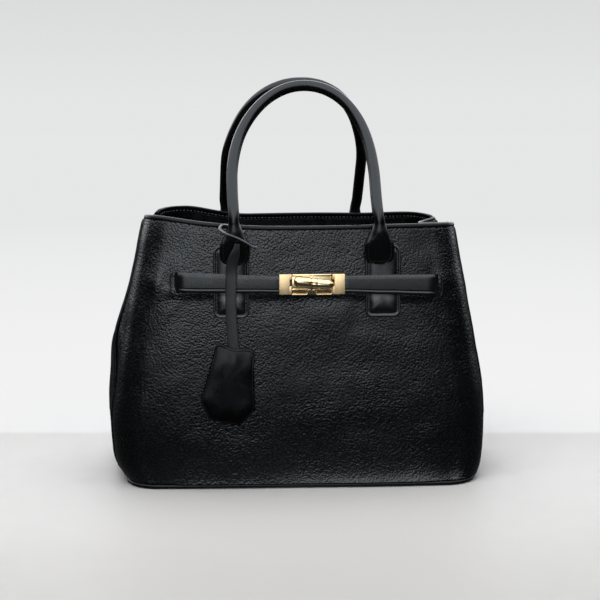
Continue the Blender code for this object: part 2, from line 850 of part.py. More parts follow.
def make_lock_plate(end, name):
    """A belt end's plate, which holds the leather and reaches under the turn bar with a windowed arm."""
    place = lock_frame()
    outer, inner = LOCK_HALF_WIDTH, LOCK_HALF_WIDTH - END_PLATE_WIDTH
    half = LOCK_HEIGHT / 2

    def across(name, x0, x1, y0, y1, z0, z1):
        low, high = sorted((end * x0, end * x1))
        return block(name, (low, y0, z0), (high, y1, z1), place, satin_gold)

    back, front = END_PLATE_OUT, END_PLATE_OUT + END_PLATE_DEPTH
    plate = across(name, inner, outer, -half, half, back, front)
    leather = belt_out() + BELT_THICKNESS / 2
    room = BELT_END_THICKNESS / 2 + CLEAR
    belt_half = BELT_HEIGHT_AT_LOCK / 2 + 2 * CLEAR
    pocket = across(
        name + "_pocket",
        inner + TIP_NOTCH + END_PLATE_WALL,
        outer + 0.002,
        -belt_half - CLEAR,
        belt_half,
        leather - room,
        leather + room,
    )
    arm_low = -half - ARM_DROP
    arm = across(
        name + "_arm",
        CLEAR * 1.3,
        inner + 0.0005,
        arm_low,
        arm_top(),
        back + CLEAR / 3,
        back + ARM_THICKNESS,
    )
    window = across(
        name + "_window",
        0.0036,
        inner - ARM_RAIL,
        arm_low + ARM_RAIL,
        arm_top() - ARM_RAIL,
        back - 0.001,
        back + ARM_THICKNESS + 0.001,
    )
    notch_half = BAR_RIGHT_RADIUS * 0.62
    notch = across(
        name + "_notch",
        inner - 0.001,
        inner + TIP_NOTCH,
        BAR_RAISE - notch_half,
        BAR_RAISE + notch_half,
        back - 0.001,
        front + 0.001,
    )
    combine(plate, pocket, "DIFFERENCE")
    combine(plate, notch, "DIFFERENCE")
    combine(plate, arm, "UNION")
    combine(plate, window, "DIFFERENCE")
    return plate


def make_lock_base():
    """The fixed plate with its top rail and the bored boss that the turn bar's stem turns in."""
    place = lock_frame()
    half = LOCK_HEIGHT / 2
    reach = LOCK_HALF_WIDTH - END_PLATE_WIDTH - 1.3 * CLEAR
    low = CLEAR
    face = low + LOCK_BASE_THICKNESS
    base = block("lock_base", (-reach, -half, low), (reach, half, face), place, polished_gold)
    rail = block(
        "lock_base_rail",
        (-reach + 0.0002, half - LOCK_RAIL_HEIGHT, low + 0.0004),
        (reach - 0.0002, half - 0.0001, LOCK_RAIL_DEPTH),
        place,
        polished_gold,
    )
    centre = place @ Matrix.Translation((0, BAR_RAISE, 0))
    boss = rod("lock_base_boss", BOSS_RADIUS, low + 0.0005, boss_top(), centre, polished_gold)
    bore = rod("lock_base_bore", STEM_RADIUS + CLEAR, face, boss_top() + 0.001, centre, polished_gold)
    combine(base, rail, "UNION")
    combine(base, boss, "UNION")
    combine(base, bore, "DIFFERENCE")
    return base


def boss_top():
    return bar_out() - BAR_LEFT_RADIUS * BAR_FLATNESS - CLEAR


def make_turn_bar():
    """The stepped barrel that turns across the belt ends, with its stem."""
    place = lock_frame() @ Matrix.Translation((0, BAR_RAISE, 0))
    left, right = BAR_LEFT_RADIUS, BAR_RIGHT_RADIUS
    profile = [
        (-BAR_LEFT, left * 0.22),
        (-BAR_LEFT + left * 0.12, left * 0.55),
        (-BAR_LEFT + left * 0.42, left * 0.86),
        (-BAR_LEFT + left * 0.9, left),
        (BAR_STEP - 0.0005, left),
        (BAR_STEP, right),
        (BAR_RIGHT - BAR_CONE, right),
        (BAR_RIGHT - BAR_CONE * 0.35, right * 0.62),
        (BAR_RIGHT, BAR_TIP_RADIUS),
    ]
    rings = []
    for x, radius in profile:
        ring = []
        for i in range(RING_SIDES):
            angle = 2 * math.pi * i / RING_SIDES
            y, z = radius * math.cos(angle), radius * BAR_FLATNESS * math.sin(angle)
            ring.append(place @ Vector((x, y, bar_out() + z)))
        rings.append(ring)
    bar = lofted("turn_bar", rings, polished_gold)
    foot = CLEAR + LOCK_BASE_THICKNESS + CLEAR
    stem = rod("turn_bar_stem", STEM_RADIUS, foot, bar_out(), place, polished_gold, sides=12)
    combine(bar, stem, "UNION")
    axis = joint_axis("turn_bar_axis", place @ Vector((0, 0, bar_out())))
    hang_on(axis, bar, stem)


def make_lock():
    """The lock: its base, the plate behind the panel, the turn bar and the two belt ends."""
    make_lock_base()
    behind = -PANEL_THICKNESS - CLEAR
    wide, high = BACKPLATE_WIDTH / 2, BACKPLATE_HEIGHT / 2
    block(
        "lock_backplate",
        (-wide, -high, behind - BACKPLATE_THICKNESS),
        (wide, high, behind),
        lock_frame(),
        satin_gold,
    )
    make_turn_bar()
    for end, word in ((LEFT, "left"), (RIGHT, "right")):
        plate = make_lock_plate(end, word + "_lock_plate")
        tip = make_belt_tip(end, word + "_belt_tip")
        front = belt_out() + BELT_THICKNESS + CLEAR / 2
        axis = joint_axis(word + "_belt_axis", on_face(FRONT, end * BELT_HINGE_X, LOCK_Z, front))
        hang_on(axis, plate, tip)


# Key case


def case_lean():
    """The case hangs clear of the belt above and of the belly below: its lean and its depth at the belt."""
    low = LOCK_Z - BELT_HEIGHT_AT_SLOT / 2
    at_belt = face_depth(STRAP_TOP_X, low) + belt_out() + BELT_THICKNESS + 1.5 * CLEAR
    foot = CASE_TOP_Z - CASE_HEIGHT
    at_foot = face_depth(CASE_TOP_X, foot) + 2 * CLEAR
    lean = max(0.0, (at_foot - at_belt) / (LOCK_Z - foot))
    return lean, at_belt


def case_point(x, z, out):
    """A point of the hanging strap or case, out from the line that its back follows."""
    lean, at_belt = case_lean()
    length = math.hypot(1, lean)
    depth = at_belt + lean * (LOCK_Z - z)
    return Vector((x, -depth - out / length, z - out * lean / length))


def rounded(corners, radius, steps=3):
    """A polygon whose corners are replaced by short arcs."""
    points = []
    for i, corner in enumerate(corners):
        here = Vector(corner)
        before = (Vector(corners[i - 1]) - here).normalized()
        after = (Vector(corners[(i + 1) % len(corners)]) - here).normalized()
        start, end = here + before * radius, here + after * radius
        for j in range(steps + 1):
            t = j / steps
            points.append((1 - t) ** 2 * start + 2 * t * (1 - t) * here + t * t * end)
    return points


def case_outline(inset):
    """The case's outline about the middle of its top edge, tilted a little."""
    top, wide, low = CASE_TOP_WIDTH / 2, CASE_WIDTH / 2, CASE_BOTTOM_WIDTH / 2
    corners = [(-top, 0), (-wide, -CASE_WIDEST), (-low, -CASE_HEIGHT)]
    corners += [(-x, z) for x, z in reversed(corners)]
    middle = Vector((0, -CASE_HEIGHT / 2))
    shrink = 1 - 2 * inset / CASE_TOP_WIDTH
    tilt = Matrix.Rotation(math.radians(-CASE_TILT), 2)
    placed = []
    for point in rounded(corners, CASE_CORNER):
        turned = tilt @ (middle + (point - middle) * shrink)
        placed.append((CASE_TOP_X + turned.x, CASE_TOP_Z + turned.y))
    return placed


def make_case_plate(name, steps):
    rings = [[case_point(x, z, out) for x, z in case_outline(inset)] for inset, out in steps]
    return lofted(name, rings, smooth_leather)


def strap_crest(z):
    """How far the strap's top stands out to pass over the handle's neck."""
    return STRAP_CREST * smooth_step((z - STRAP_TOP_Z + STRAP_CREST_DROP) / STRAP_CREST_DROP)


def make_strap():
    """The strap from the loop down to the case."""
    foot = CASE_TOP_Z + CLEAR + CASE_TOP_WIDTH / 2 * math.sin(math.radians(CASE_TILT))
    rings = []
    for level in (0.0, 0.3, 0.6, 0.77, 0.83, 0.89, 0.95, 1.0):
        x = mix(CASE_TOP_X + 0.002, STRAP_TOP_X, level)
        z = mix(foot, STRAP_TOP_Z, level)
        half, near = STRAP_WIDTH / 2, strap_crest(z)
        far = near + STRAP_THICKNESS
        corners = [(-half, near), (half, near), (half, far), (-half, far)]
        rings.append([case_point(x + dx, z, out) for dx, out in corners])
    return lofted("key_case_strap", rings, smooth_leather)


def make_loop():
    """The strap's loop, which passes behind the left neck, turns flat in front and ends in a loose tail."""
    neck = Vector((-TAB_X, -tab_middle(NECK_TOP), 0))
    behind = HANDLE_RADIUS + CLEAR + LOOP_THICKNESS / 2
    ahead = HANDLE_RADIUS + 2 * CLEAR + LOOP_WIDTH / 2
    route = [
        (0.0085, behind - 0.0004, 0.2378, 90, 0.0036),
        (0.0, behind, 0.2384, 90, 0.0036),
        (-0.0085, behind - 0.0004, 0.2388, 80, 0.0038),
        (-0.0120, 0.0015, 0.2394, 40, 0.0044),
        (-0.0108, -0.0052, 0.2392, 10, LOOP_WIDTH),
        (-0.0060, -ahead, 0.2366, 0, LOOP_WIDTH),
        (0.0015, -ahead - 0.0004, 0.2338, 0, LOOP_WIDTH),
        (0.0090, -ahead + 0.0004, 0.2310, 0, LOOP_WIDTH),
        (0.0150, -ahead + 0.0014, 0.2286, 0, LOOP_WIDTH),
        (0.0195, -ahead + 0.0020, 0.2268, 0, LOOP_WIDTH * 0.9),
    ]
    rings = []
    for i, (x, y, z, turn, width) in enumerate(route):
        before, after = route[max(i - 1, 0)], route[min(i + 1, len(route) - 1)]
        along = Vector([after[k] - before[k] for k in range(3)]).normalized()
        level = along.cross(Vector((0, 0, 1))).normalized()
        upright = level.cross(along)
        across = level * math.cos(math.radians(turn)) + upright * math.sin(math.radians(turn))
        thick = along.cross(across)
        centre = neck + Vector((x, y, z))
        a, b = across * width / 2, thick * LOOP_THICKNESS / 2
        rings.append([centre - a - b, centre + a - b, centre + a + b, centre - a + b])
    return lofted("key_case_loop", rings, smooth_leather)


def make_key_case():
    strap = make_strap()
    chamfer = CASE_CHAMFER
    thick = CASE_BACK_THICKNESS
    back = make_case_plate("key_case_back", [(0.0, 0.0), (0.0, thick)])
    low, high = thick + CLEAR, thick + CLEAR + CASE_FRONT_THICKNESS
    front = make_case_plate(
        "key_case_front", [(0.0, low), (0.0, high - chamfer), (chamfer, high)]
    )
    out = STRAP_CREST + STRAP_THICKNESS / 2
    axis = joint_axis("key_case_axis", case_point(STRAP_TOP_X, STRAP_TOP_Z, out))
    hang_on(axis, strap, back, front)
    make_loop()


def make_body():
    front = make_panel("front")
    make_panel("back")
    for end in (LEFT, RIGHT):
        cut_slot(front, end)
    for stretch in ("left", "right"):
        make_gusset(stretch)
    make_lining()
    for stretch in ("front", "back"):
        make_facing(stretch)
        make_binding(stretch)
    last = FACE_COLUMNS - 1
    make_piping("front", 0, "front_left_piping")
    make_piping("front", last, "front_right_piping")
    make_piping("back", 0, "back_right_piping")
    make_piping("back", last, "back_left_piping")
    make_base()


def make_carrying_parts():
    for side, face in ((FRONT, "front"), (BACK, "back")):
        for end, word in ((LEFT, "left"), (RIGHT, "right")):
            make_patch(side, end, f"{face}_{word}_patch")
            make_tab(side, end, f"{face}_{word}_tab")
        make_handle(side, face + "_handle")


def main():
    clear_scene()
    make_body()
    make_carrying_parts()
    for end, word in ((LEFT, "left"), (RIGHT, "right")):
        make_belt(end, word + "_belt")
    make_lock()
    make_key_case()


main()
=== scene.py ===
"""The looks of a black leather tote: soft shell, rolled handles, belt, turn lock and key case."""

import math

import bmesh
import bpy
import numpy as np
from mathutils import Matrix, Vector, noise


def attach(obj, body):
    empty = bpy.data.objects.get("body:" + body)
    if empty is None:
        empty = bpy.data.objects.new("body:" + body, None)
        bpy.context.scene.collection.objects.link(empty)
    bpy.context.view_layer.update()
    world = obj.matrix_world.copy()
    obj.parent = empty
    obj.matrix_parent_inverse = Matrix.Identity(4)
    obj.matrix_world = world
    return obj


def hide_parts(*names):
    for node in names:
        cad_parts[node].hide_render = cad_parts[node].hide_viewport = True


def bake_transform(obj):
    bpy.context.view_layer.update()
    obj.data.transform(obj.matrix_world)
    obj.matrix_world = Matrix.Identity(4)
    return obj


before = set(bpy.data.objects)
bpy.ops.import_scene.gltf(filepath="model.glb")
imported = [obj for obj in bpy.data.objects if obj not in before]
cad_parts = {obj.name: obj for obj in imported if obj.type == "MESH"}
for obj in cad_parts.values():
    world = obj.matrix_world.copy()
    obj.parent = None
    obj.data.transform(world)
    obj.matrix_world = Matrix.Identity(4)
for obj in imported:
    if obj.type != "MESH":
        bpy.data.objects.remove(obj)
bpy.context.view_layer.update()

FRONT, BACK = -1, 1
ENDS = ((-1, "left"), (1, "right"))

# Sizes in metres, most of them as the solids have them
CLEAR = 0.0003
BELLY_Z, RIM_Z = 0.060, 0.2475
BELLY_HALF_WIDTH, RIM_HALF_WIDTH, WIDTH_LOSS = 0.178, 0.145, 0.033
BELLY_HALF_DEPTH, DEPTH_LOSS, FACE_CROWN = 0.076, 0.016, 0.003
PATCH_X, TAB_X = 0.0702, 0.0665
TAB_WIDTH, TAB_BOTTOM, TAB_WIDEST = 0.0278, 0.210, 0.222
NECK_TOP, NECK_BACK = 0.247, 0.0039
HANDLE_RADIUS, LEAN_EASE = 0.00525, 0.12
LOCK_X, LOCK_Z, LOCK_HALF, LOCK_TALL, LOCK_INNER = 0.0040, 0.1915, 0.0303, 0.00935, 0.0186
PLATE_BACK, ARM_FRONT, BAR_RAISE, BAR_RADIUS, BAR_FLAT = 0.0020, 0.0036, 0.0013, 0.0052, 0.77
BELT_OUT, BELT_THICK, SLOT_X, HINGE_X = 0.0027, 0.0024, 0.1185, 0.050
STRAP_TOP = Vector((-0.0683, 0, 0.2310))
CASE_TOP_X, CASE_TOP_Z = -0.0668, 0.1350

# The soft body in the photograph: it leans to the left of its fittings, its left gusset bulges,
# its rear corners draw in and its foot stands further forward
BODY_X, LEFT_BULGE, REAR_DRAW, FOOT_AHEAD = -0.0055, 0.0062, 0.0118, 0.0100
BAR_ASKEW = 0.085

# The handles in the photograph: where their ends flare, where each arch springs and ends, how
# square it is, how much its legs spread above the necks and how far it stands aside at some heights
FLARE_BOTTOM, FLARE_TOP = 0.2240, 0.2500
ARCH_SPRING, ARCH_TOP = {FRONT: 0.284, BACK: 0.293}, {FRONT: 0.3725, BACK: 0.3755}
ARCH_POWER, SPREAD = {FRONT: 2.05, BACK: 2.15}, {FRONT: -0.0005, BACK: 0.0014}
SWAY_HEIGHTS = (0.243, 0.270, 0.300, 0.325, 0.345, 0.375)
SWAY = {FRONT: (-0.0003, -0.0024, -0.0028, -0.0020, -0.0006, 0.0015),
        BACK: (-0.0083, -0.0072, -0.0060, -0.0044, -0.0032, -0.0010)}


def mix(a, b, t):
    return a + (b - a) * t


def smooth_step(t):
    t = min(1.0, max(0.0, t))
    return t * t * (3 - 2 * t)


def ramp(x, start, over):
    """0 up to start and 1 from start + over, smooth between; below 0, over turns it round."""
    return smooth_step((x - start) / over)


def bump(x, middle, width):
    return math.exp(-(((x - middle) / width) ** 2))


def signed_power(value, power):
    return math.copysign(abs(value) ** power, value)


def circle(count, start=0.0):
    """(cosine, sine) at equal steps round a circle."""
    angles = np.linspace(0, 2 * math.pi, count, endpoint=False) + start
    return [(math.cos(a), math.sin(a)) for a in angles]


# Materials


class Nodes:
    """Adds and links the nodes of a shader tree."""

    def __init__(self, tree):
        self.tree = tree

    def add(self, kind, links=(), **values):
        node = self.tree.nodes.new(kind)
        for key, value in values.items():
            setattr(node, key, value)
        for socket, value in dict(links).items():
            self.put(node.inputs[socket], value)
        return node

    def put(self, socket, value):
        if isinstance(value, bpy.types.NodeSocket):
            self.tree.links.new(value, socket)
        else:
            socket.default_value = value

    def math(self, operation, a, b):
        return self.add("ShaderNodeMath", {0: a, 1: b}, operation=operation).outputs[0]

    def vector(self, operation, a, b=(0.0, 0.0, 0.0)):
        return self.add("ShaderNodeVectorMath", {0: a, 1: b}, operation=operation).outputs[0]

    def ranged(self, value, a, b, low=0.0, high=1.0, kind="LINEAR"):
        links = {"Value": value, "From Min": a, "From Max": b, "To Min": low, "To Max": high}
        return self.add("ShaderNodeMapRange", links, interpolation_type=kind).outputs["Result"]

    def eased(self, value, a, b, low=0.0, high=1.0):
        return self.ranged(value, a, b, low, high, "SMOOTHSTEP")

    def blend(self, factor, a, b):
        node = self.add("ShaderNodeMix", data_type="RGBA")
        self.put(node.inputs["Factor"], factor)
        self.put(node.inputs[6], a)
        self.put(node.inputs[7], b)
        return node.outputs[2]

    def relief(self, height, strength, distance):
        links = {"Height": height, "Strength": strength, "Distance": distance}
        return self.add("ShaderNodeBump", links).outputs["Normal"]


class Look(Nodes):
    """The nodes of a new material, with its shader and its object coordinates."""

    def __init__(self, name):
        self.material = bpy.data.materials.new(name)
        self.material.use_nodes = True
        super().__init__(self.material.node_tree)
        self.shader = self.tree.nodes["Principled BSDF"]
        self.place = self.add("ShaderNodeTexCoord").outputs["Object"]

    def set(self, **values):
        for key, value in values.items():
            self.put(self.shader.inputs[key.replace("_", " ")], value)

    def stretched(self, scale):
        return self.add("ShaderNodeMapping", {"Vector": self.place, "Scale": scale}).outputs[0]

    def noise(self, scale, detail=2.0, vector=None, rough=0.5, output="Fac"):
        links = {"Vector": vector or self.place, "Scale": scale, "Detail": detail,
                 "Roughness": rough}
        return self.add("ShaderNodeTexNoise", links).outputs[output]


COOL, DAYLIGHT = (0.92, 0.97, 1.0, 1), (0.95, 0.97, 1.0, 1)


def grain_leather():
    """Pebbled leather: every cell of the grain is a small dome, and the creases round it are
    painted darker as shade.
    """
    n = Look("pebbled leather")
    warp = n.vector("MULTIPLY", n.noise(330.0, output="Color"), (0.20, 0.20, 0.20))
    patches = n.ranged(n.noise(24.0, 3.0), 0.35, 0.68)
    normal = n.relief(n.noise(38.0, 3.0), 0.30, 0.0010)
    reach = []
    for cells_per_metre, tilt in ((540.0, 0.24), (250.0, 0.02)):
        at = n.vector("ADD", n.vector("MULTIPLY", n.place, (cells_per_metre,) * 3), warp)
        cell = n.add("ShaderNodeTexVoronoi", {"Vector": at, "Scale": 1.0}).outputs
        slope = n.vector("SUBTRACT", at, cell["Position"])
        slope = n.add("ShaderNodeVectorTransform", {0: slope}, vector_type="VECTOR",
                      convert_from="OBJECT", convert_to="WORLD").outputs[0]
        grown = n.add("ShaderNodeVectorMath", {0: slope}, operation="SCALE")
        n.put(grown.inputs["Scale"], n.ranged(patches, 0.0, 1.0, tilt * 0.75, tilt * 1.15))
        normal = n.vector("ADD", normal, grown.outputs[0])
        reach.append(cell["Distance"])
    # Painted shade: the creases between the domes get a darker colour, and they are rougher too.
    crease = n.eased(reach[0], 0.28, 0.62)
    rough = n.math("ADD", n.ranged(crease, 0.0, 1.0, 0.15, 0.28),
                   n.ranged(patches, 0.0, 1.0, 0.03, -0.03))
    top, painted_crease_shade = (0.0027, 0.0031, 0.0036, 1), (0.0007, 0.0008, 0.0009, 1)
    n.set(Base_Color=n.blend(crease, top, painted_crease_shade), Roughness=rough,
          Normal=n.vector("NORMALIZE", normal), Specular_IOR_Level=0.60, Specular_Tint=COOL)
    return n.material


def smooth_leather(name, tone, gloss=0.36, level=0.58):
    """Smooth leather with fine pores, faint creases and slightly rubbed high spots."""
    n = Look(name)
    pores = n.add("ShaderNodeTexVoronoi", {"Vector": n.place, "Scale": 1500.0},
                  feature="DISTANCE_TO_EDGE").outputs["Distance"]
    creases = n.noise(240.0, 4.0, n.stretched((1.0, 1.0, 0.35)), 0.6)
    height = n.math("ADD", n.math("MULTIPLY", n.eased(pores, 0.0, 0.4), 0.35), creases)
    rubbed = n.ranged(n.noise(60.0, 4.0), 0.42, 0.72)
    dark, light = [(0.0036 * t, 0.0039 * t, 0.0043 * t, 1) for t in (tone, 1.7 * tone)]
    rough = n.math("ADD", n.ranged(n.noise(95.0, 3.0), 0.3, 0.7, gloss - 0.10, gloss + 0.01),
                   n.math("MULTIPLY", rubbed, -0.04))
    n.set(Base_Color=n.blend(rubbed, dark, light), Roughness=rough,
          Normal=n.relief(height, 0.22, 0.00028), Specular_IOR_Level=level, Specular_Tint=COOL)
    return n.material


def thread():
    n = Look("waxed thread")
    twist = n.noise(5200.0, 1.0, n.stretched((1.0, 1.0, 3.0)))
    n.set(Base_Color=n.blend(twist, (0.040, 0.041, 0.043, 1), (0.120, 0.124, 0.130, 1)),
          Roughness=n.ranged(twist, 0.3, 0.7, 0.36, 0.52), Normal=n.relief(twist, 0.5, 0.0002))
    return n.material


def gold(name, satin):
    """Pale gold plating, brushed or polished, with faint handling marks."""
    n = Look(name)
    lines = n.noise(900.0, 3.0, n.stretched((0.06, 1.0, 1.0)), 0.7)
    marks = n.noise(150.0, 4.0)
    deep, pale = ((0.90, 0.66, 0.35, 1), (0.98, 0.76, 0.45, 1)) if satin else (
        (0.80, 0.61, 0.32, 1), (0.93, 0.77, 0.50, 1))
    low, high = (0.36, 0.48) if satin else (0.14, 0.22)
    rough = n.ranged(n.math("ADD", n.math("MULTIPLY", lines, 0.6), n.math("MULTIPLY", marks, 0.4)),
                     0.35, 0.65, low, high)
    n.set(Base_Color=n.blend(n.ranged(marks, 0.35, 0.65), deep, pale), Metallic=1.0,
          Roughness=rough, Normal=n.relief(lines, 0.12 if satin else 0.02, 0.0001))
    return n.material


def lining_cloth():
    """Plain woven cloth with a faint slub."""
    n = Look("lining cloth")
    warp, weft = [n.add("ShaderNodeTexWave", {"Vector": at, "Scale": 420.0, "Distortion": 1.0},
                        bands_direction=bands).outputs["Fac"]
                  for at, bands in ((n.stretched((1, 1, 0)), "DIAGONAL"), (n.place, "Z"))]
    weave = n.math("MAXIMUM", warp, weft)
    slub = n.noise(130.0, 4.0, n.stretched((1, 1, 0.2)))
    n.set(Base_Color=n.blend(n.math("MULTIPLY", weave, slub), (0.006, 0.006, 0.007, 1),
                             (0.035, 0.036, 0.039, 1)),
          Roughness=n.ranged(slub, 0.3, 0.7, 0.78, 0.92), Normal=n.relief(weave, 0.5, 0.0003),
          Sheen_Weight=0.12)
    return n.material


def board():
    n = Look("fibre board")
    fibre = n.noise(700.0, 5.0, n.stretched((0.3, 1, 1)), 0.7)
    n.set(Base_Color=n.blend(fibre, (0.06, 0.052, 0.045, 1), (0.16, 0.14, 0.12, 1)),
          Roughness=n.ranged(fibre, 0.3, 0.7, 0.75, 0.95), Normal=n.relief(fibre, 0.4, 0.0004))
    return n.material


GRAIN = grain_leather()
SMOOTH = smooth_leather("smooth leather", 0.6)
ROLL = smooth_leather("rolled leather", 0.5, 0.26, 0.46)
PAD = smooth_leather("padded leather", 0.7, 0.36, 0.72)
EDGE = smooth_leather("turned edge", 0.5, 0.34, 0.22)
# Painted shade: the key case is the same black leather, toned darker for the shade it hangs in,
# facing a little downward.
CASE = smooth_leather("key case leather", 0.3, 0.25, 0.17)
# Painted light: the strap is the same black leather, made lighter to stand in for the light on its
# twisted face.
STRAP = smooth_leather("strap leather", 2.6, 0.50, 0.80)
# Painted highlight: the loop is the same black leather, made many times lighter to stand in for the
# light on its edge.
PAINTED_HIGHLIGHT_LOOP = smooth_leather("loop leather", 17.0, 0.34, 0.95)
THREAD = thread()
SATIN = gold("satin gold", True)
POLISHED = gold("polished gold", False)
CLOTH = lining_cloth()
BOARD = board()


# Mesh building


def add_object(name, data):
    obj = bpy.data.objects.new(name, data)
    bpy.context.scene.collection.objects.link(obj)
    return obj


def make_object(name, verts, faces, material, angle=45):
    mesh = bpy.data.meshes.new(name)
    mesh.from_pydata([tuple(v) for v in verts], [], faces)
    bm = bmesh.new()
    bm.from_mesh(mesh)
    bmesh.ops.recalc_face_normals(bm, faces=bm.faces)
    bm.to_mesh(mesh)
    bm.free()
    mesh.shade_smooth()
    mesh.set_sharp_from_angle(angle=math.radians(angle))
    mesh.materials.append(material)
    return add_object(name, mesh)


def dress(obj, node=None, body="root"):
    """Attaches a piece to the body that it rides on and hides the node that it replaces, if any."""
    if body:
        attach(obj, body)
    if node:
        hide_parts(node)
    return obj


def loft_faces(rows, columns, around=True, loop=False, caps=True, start=0):
    faces = []
    for i in range(rows if loop else rows - 1):
        k = (i + 1) % rows
        for j in range(columns if around else columns - 1):
            m = (j + 1) % columns
            quad = (i * columns + j, i * columns + m, k * columns + m, k * columns + j)
            faces.append(tuple(q + start for q in quad))
    if caps and around and not loop:
        faces.append(tuple(start + j for j in range(columns)))
        faces.append(tuple(start + (rows - 1) * columns + j for j in range(columns)))
    return faces


def loft(name, rings, material, angle, loop=False):
    verts = [p for ring in rings for p in ring]
    faces = loft_faces(len(rings), len(rings[0]), loop=loop)
    return make_object(name, verts, faces, material, angle)


def sheet(name, outer, inner, material):
    """A closed sheet between two equal grids of points."""
    rows, columns = len(outer), len(outer[0])
    verts = [p for row in outer for p in row] + [p for row in inner for p in row]
    half = rows * columns
    faces = loft_faces(rows, columns, around=False)
    faces += loft_faces(rows, columns, around=False, start=half)
    edges = [(i * columns + j, 1) for j in range(columns - 1) for i in (0, rows - 1)]
    edges += [(i * columns + j, columns) for i in range(rows - 1) for j in (0, columns - 1)]
    faces += [(a, a + step, a + step + half, a + half) for a, step in edges]
    return make_object(name, verts, faces, material)


def resample(points, spacing):
    """(points at equal steps along a polyline, its length)"""
    points = np.array([tuple(p) for p in points], float)
    step = np.linalg.norm(np.diff(points, axis=0), axis=1)
    along = np.concatenate([[0], np.cumsum(step)])
    at = np.linspace(0, along[-1], max(2, int(round(along[-1] / spacing)) + 1))
    return np.stack([np.interp(at, along, points[:, k]) for k in range(3)], 1), along[-1]


def drawn_out(values, count):
    """Some numbers drawn out evenly to count of them."""
    return np.interp(np.linspace(0, 1, count), np.linspace(0, 1, len(values)), values)


def rounded_curve(points, count):
    """A smooth curve through a few points, Catmull-Rom."""
    p = [Vector(q) for q in points]
    p = [p[0] * 2 - p[1]] + p + [p[-1] * 2 - p[-2]]
    spans = len(p) - 3
    curve = []
    for i in range(count):
        u = spans * i / (count - 1)
        k = min(int(u), spans - 1)
        t = u - k
        a, b, c, d = p[k:k + 4]
        curve.append(0.5 * ((2 * b) + (c - a) * t + (2 * a - 5 * b + 4 * c - d) * t * t
                            + (3 * b - a - 3 * c + d) * t ** 3))
    return curve


def tube(name, points, radius, material, sides=12, loop=False, wobble=0.0):
    """A round cord through points, a little uneven if wobble is given."""
    count = len(points)
    points = [Vector(p) for p in points]
    rings = []
    for i, p in enumerate(points):
        a = points[i - 1] if i or loop else p
        b = points[(i + 1) % count] if i < count - 1 or loop else p
        along = (b - a).normalized()
        guide = Vector((0, 0, 1)) if abs(along.z) < 0.8 else Vector((0, 1, 0))
        across = along.cross(guide).normalized()
        up = across.cross(along)
        r = radius * (1 + wobble * noise.noise(p * 160))
        shrink = 0.55 if not loop and i in (0, count - 1) else 1.0
        rings.append([p + (across * ca + up * sa) * r * shrink for ca, sa in circle(sides)])
    return loft(name, rings, material, 60, loop)


def stitches(name, stations, material=THREAD, body="root", pitch=0.0036, radius=0.00042,
             lift=0.00026):
    """A row of short arched threads whose ends go into a surface, along (point, direction out)."""
    fill, ring_count, sides = 0.70, 5, 6
    line, length = resample([p for p, _ in stations], 0.0006)
    outs = np.stack([drawn_out([o[k] for _, o in stations], len(line)) for k in range(3)], 1)
    total = max(1, int(length / pitch))
    verts, faces = [], []
    for s in range(total):
        start = (s + 0.5 * (1 - fill)) / total
        first = len(verts)
        for i in range(ring_count):
            t = i / (ring_count - 1)
            at = (start + fill * t / total) * (len(line) - 1)
            k = min(int(at), len(line) - 2)
            p = Vector(line[k]).lerp(Vector(line[k + 1]), at - k)
            along = Vector(line[k + 1] - line[k]).normalized()
            out = Vector(outs[k]).normalized()
            side = along.cross(out).normalized()
            arch = math.sin(math.pi * t)
            r = radius * (0.55 + 0.45 * arch ** 0.5)
            middle = p + out * (lift * arch - radius * 0.75 * (1 - arch))
            verts += [middle + (side * ca + out * sa) * r for ca, sa in circle(sides)]
        faces += loft_faces(ring_count, sides, start=first)
    return dress(make_object(name, verts, faces, material, 60), body=body)


def rounded_box(low, high, radius, place):
    """Vertices and faces of a box with rounded edges, put in place by a matrix."""
    bm = bmesh.new()
    bmesh.ops.create_cube(bm, size=1.0)
    for v in bm.verts:
        v.co = [mix(low[i], high[i], v.co[i] + 0.5) for i in range(3)]
    bmesh.ops.bevel(bm, geom=list(bm.edges), offset=radius, segments=3, affect="EDGES",
                    profile=0.5)
    bmesh.ops.transform(bm, matrix=place, verts=bm.verts)
    bm.verts.index_update()
    verts = [v.co.copy() for v in bm.verts]
    faces = [tuple(v.index for v in f.verts) for f in bm.faces]
    bm.free()
    return verts, faces


def joined(name, parts, material, angle=40):
    verts, faces = [], []
    for part_verts, part_faces in parts:
        start = len(verts)
        verts += part_verts
        faces += [tuple(i + start for i in f) for f in part_faces]
    return make_object(name, verts, faces, material, angle)


# The body's wall: first as the solids have it, then with its softness


def rise(z):
    return max(0.0, (z - BELLY_Z) / (RIM_Z - BELLY_Z))


def draw_in(z):
    sink = max(0.0, (BELLY_Z - z) / BELLY_Z)
    return 0.0035 * sink + 0.0075 * sink ** 8


def half_width(z):
    return BELLY_HALF_WIDTH - WIDTH_LOSS * rise(z) ** 1.35 - draw_in(z)


def half_depth(z):
    return BELLY_HALF_DEPTH - DEPTH_LOSS * rise(z) ** 1.2 - draw_in(z)


def corner_radius(z):
    return mix(0.034, 0.026, rise(z))


def face_depth(x, z):
    return half_depth(z) + FACE_CROWN * (1 - (x / (half_width(z) - corner_radius(z))) ** 2)


def face_slope(z):
    return (half_depth(z - 0.0005) - half_depth(z + 0.0005)) / 0.001


def on_face(side, x, z, out):
    """A point this far out from the solids' front or back face."""
    slope = face_slope(z)
    length = math.hypot(1, slope)
    return Vector((x, side * (face_depth(x, z) + out / length), z + out * slope / length))


def face_out(side, z):
    return Vector((0, side, face_slope(z))).normalized()


# How many steps a panel has where it turns back, round a corner and along its face, and how many
# a gusset has
RETURN, CORNER, FACE, SIDE = 5, 12, 64, 36
COLUMNS = 2 * (RETURN + CORNER) + FACE + 1


